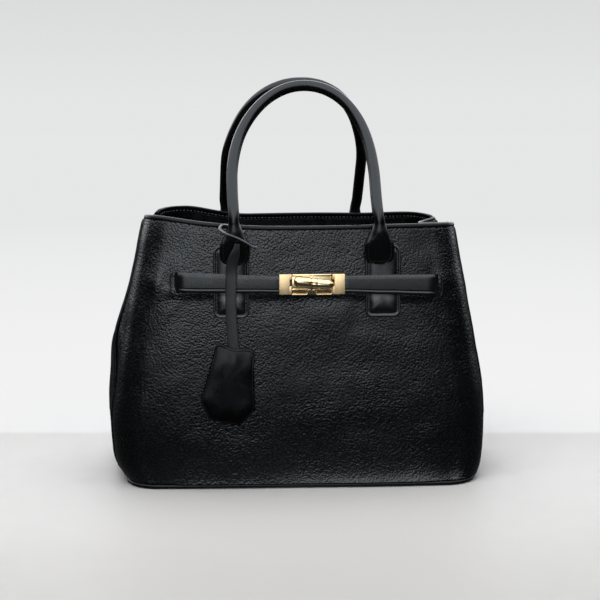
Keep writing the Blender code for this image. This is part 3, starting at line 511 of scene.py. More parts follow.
def soft_depth(z):
    """half_depth without its kink at the belly."""
    steps = range(-8, 9)
    weights = [math.exp(-2.0 * (k / 8) ** 2) for k in steps]
    lean = sum(g * rise(z + k * 0.0055) ** 1.2 for g, k in zip(weights, steps)) / sum(weights)
    lean = mix(lean, rise(z) ** 1.2, ramp(z, 0.13, 0.05))
    return BELLY_HALF_DEPTH - DEPTH_LOSS * lean - draw_in(z)


def outline(z):
    """The wall's outline at height z: front, right gusset, back, left gusset."""
    w, r = half_width(z), corner_radius(z)
    straight = soft_depth(z) - r
    seam = straight - 0.006
    swell = 0.009 * math.sin(math.pi * min(1.0, z / 0.190))
    fold = 0.026 * ramp(z, 0.110, RIM_Z - 0.110)

    def reach(y):
        return w + swell * math.cos(math.pi * y / (2 * straight)) ** 2

    side = [(-reach(y), -y) for y in np.linspace(seam + 0.0003, straight, RETURN, endpoint=False)]
    for a in np.linspace(0, math.pi / 2, CORNER, endpoint=False):
        side.append((-(w - r + r * math.cos(a)), -straight - r * math.sin(a)))
    face = [(x, -soft_depth(z) - FACE_CROWN * (1 - (x / (w - r)) ** 2))
            for x in np.linspace(-(w - r), w - r, FACE + 1)]
    front = side + face + [(-x, y) for x, y in reversed(side)]
    right = []
    for y in np.linspace(-seam + 0.0003, seam - 0.0003, SIDE + 1):
        pleat = (1 + math.cos(math.pi * y / seam)) / 2
        right.append((reach(y) - fold * pleat ** 0.8, y))
    return front + right + [(-x, -y) for x, y in front] + [(-x, -y) for x, y in right]


# The outlines at heights 1 mm apart, and the directions out from them
LEVELS = np.arange(0, 0.262, 0.001)
RIM_LEVEL = 247
RINGS = np.array([outline(z) for z in LEVELS])
AHEAD, BEHIND = np.roll(RINGS, -1, 1) - RINGS, RINGS - np.roll(RINGS, 1, 1)
AHEAD /= np.linalg.norm(AHEAD, axis=2, keepdims=True)
BEHIND /= np.linalg.norm(BEHIND, axis=2, keepdims=True)
NORMALS = np.stack([(AHEAD + BEHIND)[..., 1], -(AHEAD + BEHIND)[..., 0]], 2)
NORMALS /= np.linalg.norm(NORMALS, axis=2, keepdims=True)
STRETCHES = ("front", "right", "back", "left")
SIZES = {"front": COLUMNS, "right": SIDE + 1, "back": COLUMNS, "left": SIDE + 1}
STARTS = {"front": 0, "right": COLUMNS, "back": COLUMNS + SIDE + 1,
          "left": 2 * COLUMNS + SIDE + 1}


def belt_edges(x, end):
    """The lower and the upper edge of a belt; it widens towards its slot."""
    t = (abs(x) - LOCK_HALF) / (SLOT_X - LOCK_HALF)
    height = mix(0.0155, 0.0188 if end < 0 else 0.0200, t)
    middle = LOCK_Z + (0.0024 if end < 0 else -0.0020) * t - 0.0002
    return middle - height / 2, middle + height / 2


def near_fittings(x, z):
    """0 where a belt, the lock, a patch or the key case lies on the face, 1 well away."""
    belt = max(abs(z - 0.192) - 0.012, abs(x) - 0.124)
    patch = max(abs(abs(x) - 0.070) - 0.018, abs(z - 0.200) - 0.046)
    case = max(abs(x + 0.070) - 0.030, abs(z - 0.150) - 0.090)
    return smooth_step(min(belt, patch, case) / 0.014)


def slot_folds(u, z):
    """Dents and folds where a belt goes into its slot; u is x, or -x for the left belt."""
    folds = -0.0010 * bump(u, 0.1235, 0.006) * bump(z, 0.193, 0.014)
    folds += 0.0007 * bump(u, 0.137, 0.010) * bump(z, 0.190 + (u - 0.13) * 0.4, 0.008)
    folds -= 0.0008 * bump(u + (z - 0.17) * 0.55, 0.132, 0.006) * bump(z, 0.165, 0.017)
    return folds + 0.0006 * bump(u + (z - 0.17) * 0.9, 0.121, 0.006) * bump(z, 0.163, 0.015)


def softness(x, y, z, out_x):
    """How far the soft wall stands out from its plain form at a point."""
    p = Vector((x, y, z))
    top = ramp(z, 0.215, 0.03)
    past = abs(x) - (half_width(z) - 0.054 - 0.014 * abs(z - 0.192) / 0.13)
    past = min(1.0, max(0.0, past) / 0.045)
    slot = bump(z, 0.1935, 0.020) * ramp(abs(x), 0.146, -0.018)
    turning = 0.0046 * past ** 2 * (1 - abs(out_x)) * (1 - 0.5 * top) * (1 - 0.85 * slot)
    wave = 0.0009 * noise.noise(p * 17) + 0.00035 * noise.noise(p * 48 + Vector((3, 1, 7)))
    if y < -0.02:
        wave *= mix(near_fittings(x, z), 0.5, 0.0)
        low = belt_edges(x, 1 if x > 0 else -1)[0]
        wave += 0.0013 * bump(z, low + 0.0005, 0.0036) * ramp(abs(x), 0.126, -0.006)
        wave += slot_folds(x, z) + slot_folds(-x, z)
    wave += 0.0011 * abs(out_x) * noise.noise(p * 26 + Vector((9, 4, 2)))
    return wave * (1 - 0.6 * top) - turning


def drawn_in(x, y, z):
    """How far the sides stand inside the plain wall, or outside where it is below 0."""
    pull = REAR_DRAW * ramp(z, 0.180, 0.065) * ramp(y, 0.005, 0.045)
    if x >= 0:
        return pull + 0.0024 * bump(z, 0.140, 0.065) - 0.0006 * bump(z, 0.0, 0.018)
    pull -= LEFT_BULGE * bump(z, 0.140, 0.028) * (1 - ramp(abs(y), 0.030, 0.018))
    return pull - 0.0012 * bump(z, 0.040, 0.025) + 0.0036 * bump(z, 0.0, 0.015)


def foot_ahead(x, y, z):
    """How much further forward the foot of the front wall stands."""
    sink = max(0.0, 1 - z / BELLY_Z)
    right = ramp(x, -0.04, 0.19)
    ahead = (0.0038 + 0.0030 * right) * sink + (FOOT_AHEAD + 0.0035 * right) * sink ** 8
    return ahead * smooth_step(-y / 0.060)


def wall_points(stretch, column, z, out, soft=True):
    """(point, outward direction) on the wall at one column of a stretch."""
    k = STARTS[stretch] + column
    level = min(max(z, 0.0) * 1000, len(LEVELS) - 1.001)
    i, t = int(level), level - int(level)
    at = mix(RINGS[i, k], RINGS[i + 1, k], t)
    normal = mix(NORMALS[i, k], NORMALS[i + 1, k], t)
    if soft:
        out = out + softness(at[0], at[1], z, normal[0])
    pull = drawn_in(*at, z) * min(1.0, abs(at[0]) / 0.08) ** 2
    x = at[0] - math.copysign(1.0, at[0]) * pull
    y = at[1] - foot_ahead(*at, z)
    return Vector((x + normal[0] * out + BODY_X, y + normal[1] * out, z)), Vector((*normal, 0))


# The height of the wall's foot, and the rows of a sheet from there to the rim
BOTTOM, ROWS = 0.0047, 76


def rim(stretch, column):
    """The soft rim's height along a panel or gusset; a panel's drops where it turns back."""
    if stretch in ("left", "right"):
        return 0.2435 - 0.0030 * math.sin(math.pi * column / SIDE)
    u = RINGS[RIM_LEVEL, STARTS[stretch] + column][0] / RIM_HALF_WIDTH
    turned = max(0.0, 1 - min(column, COLUMNS - 1 - column) / (RETURN + CORNER))
    if stretch == "front":
        left = 0.0052 * ramp(-u, 0.2, 0.8) + 0.0020 * ramp(-u, 0.6, 0.4)
        right = 0.0013 * ramp(u, 0.5, 0.5)
        return 0.2436 + 0.0036 * u * u + left - right - 0.0042 * turned ** 2
    left = 0.0088 * ramp(u * u * (u < 0), 0.10, 0.62)
    right = 0.0018 * ramp(u, 0.5, 0.4)
    return 0.2443 + left + right + 0.0004 * math.sin(4 * u + 1) - 0.0040 * turned ** 3


def wall_sheet(name, stretch, outs, material, low=BOTTOM, under=0.0, rows=ROWS):
    """A sheet along the wall from a height to just under the rim, between two distances out."""
    grids = [[[wall_points(stretch, c, mix(low, rim(stretch, c) - under, r / (rows - 1)), out)[0]
               for c in range(SIZES[stretch])] for r in range(rows)] for out in outs]
    return sheet(name, *grids, material)


def make_panel(stretch):
    panel = wall_sheet(stretch + "_shell", stretch, (0.0, -0.0020), GRAIN)
    dress(panel, stretch + "_panel")


def make_gusset(stretch):
    gusset = wall_sheet(stretch + "_gusset_shell", stretch, (0.0, -0.0014), GRAIN)
    dress(gusset, stretch + "_gusset")
    points = [wall_points(stretch, c, rim(stretch, c) - 0.0002, -0.0007)[0]
              for c in range(1, SIDE)]
    dress(tube(stretch + "_gusset_edge", points, 0.0015, SMOOTH, wobble=0.1))


def make_binding(stretch):
    """The folded leather along a panel's top edge, with its stitching."""
    profile = [(0.0001, -0.0030), (0.0005, -0.0028), (0.0008, -0.0021), (0.0009, -0.0013)]
    for a in np.linspace(0.2, math.pi, 11):
        profile.append((-0.0011 + 0.0020 * math.cos(a), -0.0001 + 0.0012 * math.sin(a)))
    profile += [(-0.0031, -0.0006), (-0.0031, -0.0042), (-0.0025, -0.0048), (-0.0022, -0.002),
                (-0.0010, 0.0004), (0.0000, -0.002)]
    rings = []
    for c in range(COLUMNS):
        top = rim(stretch, c)
        rings.append([wall_points(stretch, c, top + up, out)[0] for out, up in profile])
    dress(loft(stretch + "_rim_binding", rings, EDGE, 60), stretch + "_binding")
    for word, out, under, facing in (("outer", 0.00005, 0.0046, 1), ("inner", -0.0031, 0.0036, -1)):
        at = [wall_points(stretch, c, rim(stretch, c) - under, out) for c in range(3, COLUMNS - 3)]
        stitches(f"{stretch}_rim_{word}_stitches", [(p, n * facing) for p, n in at])


def make_facing(stretch):
    facing = wall_sheet(stretch + "_mouth_facing", stretch, (-0.0023, -0.0040), SMOOTH,
                        low=0.214, under=0.0055, rows=12)
    dress(facing, stretch + "_facing")
    at = [wall_points(stretch, c, 0.2165, -0.00405) for c in range(2, COLUMNS - 2)]
    stitches(stretch + "_facing_stitches", [(p, -n) for p, n in at])


def make_lining():
    """The cloth lining: a soft cup that hangs a little loose inside the wall."""
    columns = []
    for stretch in STRETCHES:
        low, high = (0, SIZES[stretch]) if stretch in ("front", "back") else (2, SIZES[stretch] - 2)
        columns += [(stretch, c) for c in range(low, high, 2)]
    heights = np.concatenate([[0.0052, 0.006, 0.008], np.linspace(0.012, 0.2163, 30)])

    def row(z, out):
        points = []
        for stretch, c in columns:
            p, normal = wall_points(stretch, c, z, out, soft=False)
            fold = noise.noise(Vector((p.x * 30, p.y * 30, z * 9)))
            slack = 0.0016 * (0.5 + 0.5 * fold) * math.sin(math.pi * (z - 0.005) / 0.212)
            points.append(p - normal * slack)
        return points

    outer = [row(z, -0.0046) for z in heights]
    inner = [row(z + (0.0008 if i < 3 else 0), -0.0053) for i, z in enumerate(heights)]
    count, rows = len(columns), len(heights)
    verts = [p for r in outer for p in r] + [p for r in inner for p in r]
    half = rows * count
    faces = loft_faces(rows, count, caps=False)
    faces += loft_faces(rows, count, caps=False, start=half)
    faces += [tuple(range(count)), tuple(half + j for j in range(count))]
    top = (rows - 1) * count
    faces += [(top + j, top + (j + 1) % count, half + top + (j + 1) % count, half + top + j)
              for j in range(count)]
    dress(make_object("cloth_lining", verts, faces, CLOTH, 60), "lining")


def foot_ring(out, step):
    """Points round the wall's foot."""
    return [wall_points(stretch, c, BOTTOM, out, soft=False)[0]
            for stretch in STRETCHES
            for c in range(0, SIZES[stretch], step)]


def make_pipings():
    """Cords in the side seams and round the base."""
    ends = {"front_left": ("front", 0), "front_right": ("front", COLUMNS - 1),
            "back_right": ("back", 0), "back_left": ("back", COLUMNS - 1)}
    for word, (stretch, c) in ends.items():
        top = rim(stretch, c) - 0.0012
        points = [wall_points(stretch, c, z, 0.0010)[0] for z in np.linspace(0.0062, top, 80)]
        cord = tube(word + "_seam_cord", points, 0.0016, SMOOTH, wobble=0.12)
        dress(cord, word + "_piping")
    ring = [Vector((p.x, p.y, 0.0022)) for p in foot_ring(-0.0028, 1)]
    dense, _ = resample(ring + [ring[0]], 0.0035)
    cord = tube("base_cord", dense[:-1], 0.0017, EDGE, loop=True, wobble=0.1)
    dress(cord, "base_welt")


def make_base():
    for name, inset, low, high, material, node, slot in (
            ("base_leather", 0.0016, 0.0, 0.0026, GRAIN, "base_panel", "grain_leather"),
            ("stiffening_board", 0.0090, 0.0029, 0.0047, BOARD, "base_board", "fibre_board")):
        ring = foot_ring(-inset, 2)
        rings = []
        for shrink, z in ((0.99, low), (1.0, low + 0.0004), (1.0, high - 0.0004), (0.995, high)):
            rings.append([Vector((mix(BODY_X, p.x, shrink), p.y * shrink, z)) for p in ring])
        dress(loft(name, rings, material, 30), node)


# Patches, handles and belts


def rounded_corners(x0, x1, y0, y1, upper, lower):
    """(x, y, angle) along a rectangle's corners, anticlockwise from the upper right one."""
    points = []
    for k, (x, y, right, up) in enumerate([(x1, y1, 1, 1), (x0, y1, -1, 1), (x0, y0, -1, -1),
                                           (x1, y0, 1, -1)]):
        r = upper if up > 0 else lower
        for a in [math.pi / 2 * (k + i / 6) for i in range(7)]:
            points.append((x - right * r + r * math.cos(a), y - up * r + r * math.sin(a), a))
    return points


def patch_outline(inset):
    """(x, z) round a patch, this far inside its edge: x from its middle, z from the table."""
    half, low, high = 0.0165 - inset, 0.1605 + inset, 0.2275 - inset
    points = rounded_corners(-half, half, low, high, max(0.0080 - inset, 0.0012),
                             max(0.0065 - inset, 0.0012))
    dense = []
    for i, (x, z, _) in enumerate(points):
        x2, z2, _ = points[(i + 1) % len(points)]
        steps = (9, 32)[i // 7 % 2] if i % 7 == 6 else 1
        dense += [(mix(x, x2, s / steps), mix(z, z2, s / steps)) for s in range(steps)]
    return dense


def make_patch(side, end, name):
    """The padded patch under a handle's end: a corded edge, a sewn channel and a pillow."""
    def pillow(z):
        return 0.0008 + 0.0010 * ramp(z, 0.181, -0.006)

    # From the edge inwards: (distance inside the outline, distance out, share of the pillow)
    steps = [(0.0, 0.0002, 0), (0.0, 0.0013, 0), (0.0003, 0.0018, 0), (0.0009, 0.0021, 0),
             (0.0016, 0.0021, 0), (0.0023, 0.0017, 0), (0.0028, 0.0012, 0), (0.0034, 0.0011, 0),
             (0.0042, 0.0014, 0.2), (0.0055, 0.0017, 0.55), (0.0075, 0.0019, 0.8),
             (0.0100, 0.0020, 0.93), (0.0125, 0.0020, 1.0), (0.0148, 0.0020, 1.0)]
    shift = sway(BACK, 0.235) if side == BACK else 0.0
    rings = []
    for inset, out, crown in steps:
        ring = []
        for x, z in patch_outline(inset):
            high = out + crown * pillow(z)
            high += 0.00012 * noise.noise(Vector((x * 300 + end, z * 300, side)))
            ring.append(on_face(side, end * PATCH_X + shift + x, z, high))
        rings.append(ring)
    patch = loft(name + "_pad", rings, PAD, 60)
    dress(patch, name)
    line = patch_outline(0.0031)
    line.append(line[0])
    stitches(name + "_stitches", [(on_face(side, end * PATCH_X + shift + x, z, 0.00115),
                                   face_out(side, z)) for x, z in line], pitch=0.0032)


def tab_half_width(z):
    if z < TAB_WIDEST:
        t = (TAB_WIDEST - z) / (TAB_WIDEST - TAB_BOTTOM)
        return TAB_WIDTH / 2 * max(0.0, 1 - t ** 3) ** (1 / 3)
    return mix(TAB_WIDTH / 2, HANDLE_RADIUS, ramp(z, FLARE_BOTTOM, FLARE_TOP - FLARE_BOTTOM))


def tab_back(z):
    return mix(0.0027, NECK_BACK, ramp(z, 0.2260, NECK_TOP - 0.2260))


def tab_front(z):
    t = min(1.0, max(0.0, (z - 0.2095) / 0.0310))
    return mix(0.0056, NECK_BACK + 2 * HANDLE_RADIUS, 1 - (1 - t) ** 1.35)


def tab_half_thickness(z):
    return (tab_front(z) - tab_back(z)) / 2


def tab_middle(z):
    return face_depth(TAB_X, z) + (tab_front(z) + tab_back(z)) / 2


def sway(side, z):
    """How far a handle stands aside at a height, smoothed over 16 mm."""
    nearby = (-0.008, -0.004, 0, 0.004, 0.008)
    return sum(float(np.interp(z + d, SWAY_HEIGHTS, SWAY[side])) for d in nearby) / len(nearby)


def handle_centres(side):
    """(x, y, z) down the middle of a handle, from one sewn end over the arch to the other."""
    top, foot, near = ARCH_TOP[side], tab_middle(NECK_TOP), HANDLE_RADIUS + 0.7 * CLEAR

    def depth(z):
        if z <= NECK_TOP:
            return tab_middle(z)
        t = (z - NECK_TOP) / (top - NECK_TOP)
        eased = t * t / (2 * LEAN_EASE) if t < LEAN_EASE else t - LEAN_EASE / 2
        return mix(foot, near, eased / (1 - LEAN_EASE / 2))

    heights = [TAB_BOTTOM + d for d in (0.00006, 0.0002, 0.0005, 0.001, 0.0018, 0.003, 0.0045)]
    heights += list(np.arange(0.216, 0.250, 0.0012)) + list(np.linspace(0.2515, 0.2915, 16))
    half = [(TAB_X, z) for z in heights if z < ARCH_SPRING[side] - 0.001]
    power = 2 / ARCH_POWER[side]
    for a in np.linspace(0, math.pi / 2, 36):
        x = TAB_X * max(0.0, math.cos(a)) ** power
        half.append((x if a < 1.5707 else 0.0, mix(ARCH_SPRING[side], top, math.sin(a) ** power)))
    both = [(-x, z) for x, z in half] + [(x, z) for x, z in reversed(half[:-1])]
    points = []
    for x, z in both:
        wider = SPREAD[side] * ramp(z, 0.248, 0.012)
        wider *= math.copysign(1 - ramp(z, 0.300, 0.035), x) if abs(x) > 0.001 else 0.0
        points.append(Vector((x + wider + sway(side, z), side * depth(z), z)))
    return points


def make_handle(side, word):
    """A rolled handle in one piece with its sewn ends."""
    centres = handle_centres(side)
    count, sides = len(centres), 40
    rings = []
    for i, c in enumerate(centres):
        a, b = centres[max(i - 1, 0)], centres[min(i + 1, count - 1)]
        along = (b - a).normalized()
        outward = Vector((0, side, 0))
        outward = (outward - along * outward.dot(along)).normalized()
        outer = along.cross(outward) * side
        z = c.z
        wide, thick = tab_half_width(z), tab_half_thickness(z)
        if z > FLARE_TOP:
            wide = HANDLE_RADIUS
        if z > NECK_TOP:
            thick = HANDLE_RADIUS
        flat = 1 - ramp(z, 0.2270, 0.0130)
        square = mix(1.0, 0.42, flat)
        ring = []
        for ca, sa in circle(sides, math.pi / sides):
            x, y = signed_power(ca, square), signed_power(sa, square)
            h = thick
            if sa > 0 and flat > 0.02:
                bead = 0.0004 + 0.0007 * bump(z, 0.2350, 0.006)
                edge = bump(abs(x), 0.90, 0.10) * bead - bump(abs(x), 0.68, 0.09) * 0.0004
                h = thick + edge * flat
            around = math.atan2(sa, ca)
            seam = bump(around, 0.62, 0.10) * 0.00042 * (1 - flat)
            groove = -bump(around, 0.86, 0.09) * 0.00022 * (1 - flat)
            away = outer * ca + outward * sa
            p = c + outer * (wide * x) + outward * (h * y)
            p += away * (seam + groove + 0.00010 * noise.noise(c * 90 + away * 2))
            ring.append(p)
        rings.append(ring)
    handle = loft(word + "_handle_leather", rings, ROLL, 60)
    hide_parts(f"{word}_left_tab", f"{word}_right_tab", f"{word}_handle")
    y = side * tab_middle(NECK_TOP)
    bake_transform(handle)
    for end, end_word in ENDS:
        line = [(tab_half_width(z) * 0.74 + 0.0002, z) for z in np.linspace(0.2345, 0.2135, 16)]
        across = [(mix(line[-1][0], -line[-1][0], t), 0.2127 - 0.0004 * math.sin(math.pi * t))
                  for t in np.linspace(0.06, 0.94, 8)]
        whole = line + across + [(-x, z) for x, z in reversed(line)]
        foot = end * TAB_X + sway(side, 0.235)
        at = [(Vector((foot + x, side * (face_depth(TAB_X, z) + tab_front(z) - 0.0003), z)),
               face_out(side, z)) for x, z in whole]
        stitches(f"{word}_{end_word}_tab_stitches", at, ROLL, pitch=0.0030)


def belt_stations(end):
    """(x, out, thickness, lean) along a belt, from inside its slot to the lock."""
    out = BELT_OUT + BELT_THICK / 2
    keys = [(0.0090, -0.0032, 0.0018, 0), (0.0064, -0.0032, 0.0018, 10),
            (0.0042, -0.0024, 0.0018, 55), (0.0036, -0.0008, 0.0019, 68),
            (0.0024, out - 0.0028, 0.0021, 50), (-0.0005, out - 0.0012, 0.0024, 28),
            (-0.0050, out - 0.0001, 0.0024, 6), (-0.0110, out, 0.0024, 0)]
    count = 36
    smooth = rounded_curve([(SLOT_X + past, *rest) for past, *rest, _ in keys], count)
    leans = drawn_out([key[3] for key in keys], count)
    stations = [(*p, lean) for p, lean in zip(smooth, leans)]
    last = LOCK_HALF + end * LOCK_X - 0.006
    stations += [(x, out, BELT_THICK if x > last + 0.007 else 0.0018, 0)
                 for x in np.arange(SLOT_X - 0.015, last, -0.0015)]
    return stations


def make_belt(end, word):
    """A belt in one piece, from its slot over the patch to inside its end plate."""
    # Across the belt: (place from -1 to 1, share of the thickness, relief of the edge)
    profile = []
    for v in np.linspace(-1, 1, 27):
        dome = 0.5 - 0.5 * abs(v) ** 9 - 0.10 * v * v
        band = 0.00042 * ramp(-v, 0.66, 0.06) - 0.00030 * bump(v, -0.61, 0.035)
        groove = -0.00022 * bump(v, 0.80, 0.035)
        profile.append((v, dome, band + groove))
    profile[0], profile[-1] = (-1, 0.05, 0), (1, 0.05, 0)
    profile += [(v, -0.5, 0) for v in np.linspace(1, -1, 5)[1:-1]]
    rings, top_line = [], []
    for x, out, thick, lean in belt_stations(end):
        low, high = belt_edges(x, end)
        middle, half = (low + high) / 2, (high - low) / 2
        middle += 0.00035 * noise.noise(Vector((x * 55, end, 4)))
        turn = math.radians(lean)

        def point(v, d):
            return on_face(FRONT, end * (x - d * math.sin(turn)), middle + half * v,
                           out + d * math.cos(turn))

        rings.append([point(v, thick * depth + extra) for v, depth, extra in profile])
        if lean < 40 and x > LOCK_HALF + end * LOCK_X + 0.001:
            seam = point(0.80, thick * (0.5 - 0.10 * 0.64) - 0.0002)
            top_line.append((seam, face_out(FRONT, LOCK_Z)))
    belt = loft(word + "_belt_leather", rings, SMOOTH, 50)
    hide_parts(word + "_belt", word + "_belt_tip")
    row = stitches(word + "_belt_stitches", top_line, body=None, pitch=0.0034)
    low, high = belt_edges(SLOT_X, end)
    lip = [on_face(FRONT, end * (SLOT_X + 0.0074 - 0.0022 * abs(v) ** 4),
                   mix(low, high, 0.5 + 0.53 * v), 0.0002) for v in np.linspace(-1, 1, 25)]
    dress(tube(word + "_slot_lip", lip, 0.0007, SMOOTH, sides=8))
    for piece in (belt, row):
        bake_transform(piece)


# Turn lock


def lock_place():
    """The lock's frame: x along it, y up the panel and z out from the panel."""
    slope = face_slope(LOCK_Z)
    length = math.hypot(1, slope)
    place = Matrix((Vector((1, 0, 0)), Vector((0, slope, 1)) / length,
                    Vector((0, -1, slope)) / length)).transposed().to_4x4()
    place.translation = on_face(FRONT, LOCK_X, LOCK_Z, 0)
    return place


def lathe(place, profile, sides):
    """Vertices and faces of a round piece from (height, radius) along its axis."""
    verts = [place @ Vector((r * ca, r * sa, z)) for z, r in profile for ca, sa in circle(sides)]
    return verts, loft_faces(len(profile), sides)


def frame_ring(place, x0, x1, y0, y1, z, radius, corner):
    """A rounded bar bent round a small window."""
    sides = 14
    centres = rounded_corners(x0, x1, y0, y1, corner, corner)
    verts = []
    for cx, cy, a in centres:
        for ca, sa in circle(sides):
            r = radius * ca
            verts.append(place @ Vector((cx + r * math.cos(a), cy + r * math.sin(a),
                                         z + radius * 0.95 * sa)))
    return verts, loft_faces(len(centres), sides, loop=True)


def make_belt_plates(place):
    """The plate at each belt's free end, and the windowed arm that reaches under the bar."""
    half, inner, back = LOCK_TALL, LOCK_INNER, PLATE_BACK
    arm_low, arm_top = -half - 0.0008, BAR_RAISE - BAR_RADIUS - CLEAR
    for end, word in ENDS:
        def span(a, b):
            return sorted((end * a, end * b))

        a, b = span(inner + 0.0019, LOCK_HALF)
        parts = [rounded_box((a, -half, back), (b, half, back + 0.0040), 0.0004, place)]
        for y0, y1 in ((-half, BAR_RAISE - 0.0029), (BAR_RAISE + 0.0029, half)):
            a, b = span(inner, inner + 0.0030)
            parts.append(rounded_box((a, y0, back + 0.0001), (b, y1, back + 0.00396), 0.0005,
                                     place))
        plate = joined(word + "_end_plate", parts, SATIN, 35)
        dress(plate, word + "_lock_plate", word + "_belt_tip")
        a, b = span(0.0036, inner + 0.0004)
        ring = frame_ring(place, a + 0.0002, b - 0.0006, arm_low + 0.0007, arm_top - 0.0006,
                          ARM_FRONT - 0.0005, 0.00068, 0.0011)
        a, b = span(CLEAR * 1.3, 0.0042)
        pivot = Vector((0, (arm_low + arm_top) / 2, ARM_FRONT))
        tipped = place @ Matrix.Translation(pivot) @ Matrix.Rotation(math.radians(7), 4, "X")
        tipped = tipped @ Matrix.Translation(-pivot)
        rib = rounded_box((a, arm_low + 0.0002, back), (b, arm_top - 0.0002, ARM_FRONT),
                          0.0003, tipped)
        arm = joined(word + "_window_frame", [ring, rib], POLISHED, 50)
        dress(arm, body=word + "_belt_tip")


def make_lock():
    place = lock_place()
    make_belt_plates(place)
    half, reach = LOCK_TALL, LOCK_INNER - 1.3 * CLEAR
    parts = [rounded_box((-reach, -half, CLEAR), (reach, half, 0.0015), 0.0003, place),
             rounded_box((-reach + 0.0002, half - 0.0022, 0.0007),
                         (reach - 0.0002, half - 0.0001, 0.0030), 0.0005, place)]
    centre = place @ Matrix.Translation((0, BAR_RAISE, 0))
    bar_out = ARM_FRONT + 1.4 * CLEAR + BAR_RADIUS * BAR_FLAT
    post = [(0.0012, 0.0040), (0.0018, 0.0040), (0.0022, 0.0034), (bar_out - 0.0051, 0.0033),
            (bar_out - 0.0049, 0.0030)]
    parts.append(lathe(centre, post, 32))
    dress(joined("lock_front_plate", parts, POLISHED, 40), "lock_base")
    # The bar from its blunt left end to its pointed right one: (x, radius)
    profile = [(-0.0170, 0.0008), (-0.01695, 0.0017), (-0.0166, 0.0028), (-0.0160, 0.0038),
               (-0.0151, 0.0046), (-0.0140, 0.0050), (-0.0126, BAR_RADIUS), (-0.0014, BAR_RADIUS),
               (-0.0011, 0.0050), (-0.0008, 0.0046), (-0.0005, 0.0050), (-0.0002, BAR_RADIUS),
               (0.0040, BAR_RADIUS), (0.0044, 0.0050), (0.0047, 0.0045), (0.0051, 0.0046),
               (0.0056, 0.0047), (0.0150, 0.0047), (0.0160, 0.0045), (0.0170, 0.0038),
               (0.0182, 0.0029), (0.0192, 0.0019), (0.0199, 0.0011), (0.0201, 0.0005)]
    verts = []
    for x, r in profile:
        for t in np.linspace(0, 2 * math.pi, 40, endpoint=False):
            y, z = r * math.cos(t) - BAR_ASKEW * x, r * BAR_FLAT * math.sin(t)
            if -0.012 < x < 0.014:
                z -= 0.00035 * bump(t, math.pi / 2, 0.10)
            verts.append(centre @ Vector((x, y, bar_out + z)))
    parts = [(verts, loft_faces(len(profile), 40)),
             lathe(centre, [(0.0018, 0.0018), (bar_out, 0.0018)], 24)]
    dress(joined("turning_barrel", parts, POLISHED, 50), "turn_bar", "turn_bar")
    inside = rounded_box((-0.015, -0.007, -0.0031), (0.015, 0.007, -0.0023), 0.0002, place)
    dress(joined("lock_inner_plate", [inside], SATIN), "lock_backplate")


# Key case


def case_line():
    """How much the case leans back, and the depth of its line at the lock's height."""
    low = LOCK_Z - 0.0094
    at_belt = face_depth(STRAP_TOP.x, low) + BELT_OUT + BELT_THICK + 1.5 * CLEAR
    foot = CASE_TOP_Z - 0.0715
    at_foot = face_depth(CASE_TOP_X, foot) + 2 * CLEAR
    return max(0.0, (at_foot - at_belt) / (LOCK_Z - foot)), at_belt


LEAN, AT_BELT = case_line()


def case_point(x, z, out):
    """A point this far out from the case's leaning plane."""
    length = math.hypot(1, LEAN)
    return Vector((x, -(AT_BELT + LEAN * (LOCK_Z - z)) - out / length, z - out * LEAN / length))


def case_outline(inset):
    """The case's outline, tilted, with soft corners and slightly drawn-in sides."""
    corners = [(-0.0180, 0.0022), (-0.0262, -0.0530), (-0.0155, -0.0700), (0.0140, -0.0715),
               (0.0252, -0.0560), (0.0176, 0)]
    middle = Vector((0, -0.03575))
    points = []
    for i, corner in enumerate(corners):
        here = Vector(corner)
        before = (Vector(corners[i - 1]) - here).normalized()
        after = (Vector(corners[(i + 1) % 6]) - here).normalized()
        r = 0.0046 if i in (0, 5) else 0.0040
        for t in [k / 5 for k in range(6)]:
            points.append((here + before * r) * (1 - t) ** 2 + here * 2 * t * (1 - t)
                          + (here + after * r) * t * t)
    dense = []
    for i, p in enumerate(points):
        q = points[(i + 1) % len(points)]
        steps = 8 if i % 6 == 5 else 1
        dense += [p.lerp(q, s / steps) for s in range(steps)]
    tilt = Matrix.Rotation(math.radians(-7.6), 2)
    placed = []
    for p in dense:
        d = p - middle
        p = middle + d * max(0.0, 1 - inset / d.length)
        waist = 0.0007 * math.sin(math.pi * min(1.0, max(0.0, -p.y / 0.050)))
        dip = 0.0022 * bump(p.x, -0.002, 0.009) * ramp(p.y, -0.012, 0.012)
        drawn = math.copysign(waist, p.x) * min(1.0, abs(p.x) / 0.01)
        p = tilt @ Vector((p.x - drawn, p.y - dip))
        placed.append((CASE_TOP_X + p.x, CASE_TOP_Z + p.y))
    return placed


def case_swell(z):
    """How far the case's front stands out, more towards its foot."""
    swell = 0.0028 * ramp(z, CASE_TOP_Z + 0.001, -0.021)
    return swell + 0.0026 * ramp(z, CASE_TOP_Z - 0.012, -0.056)


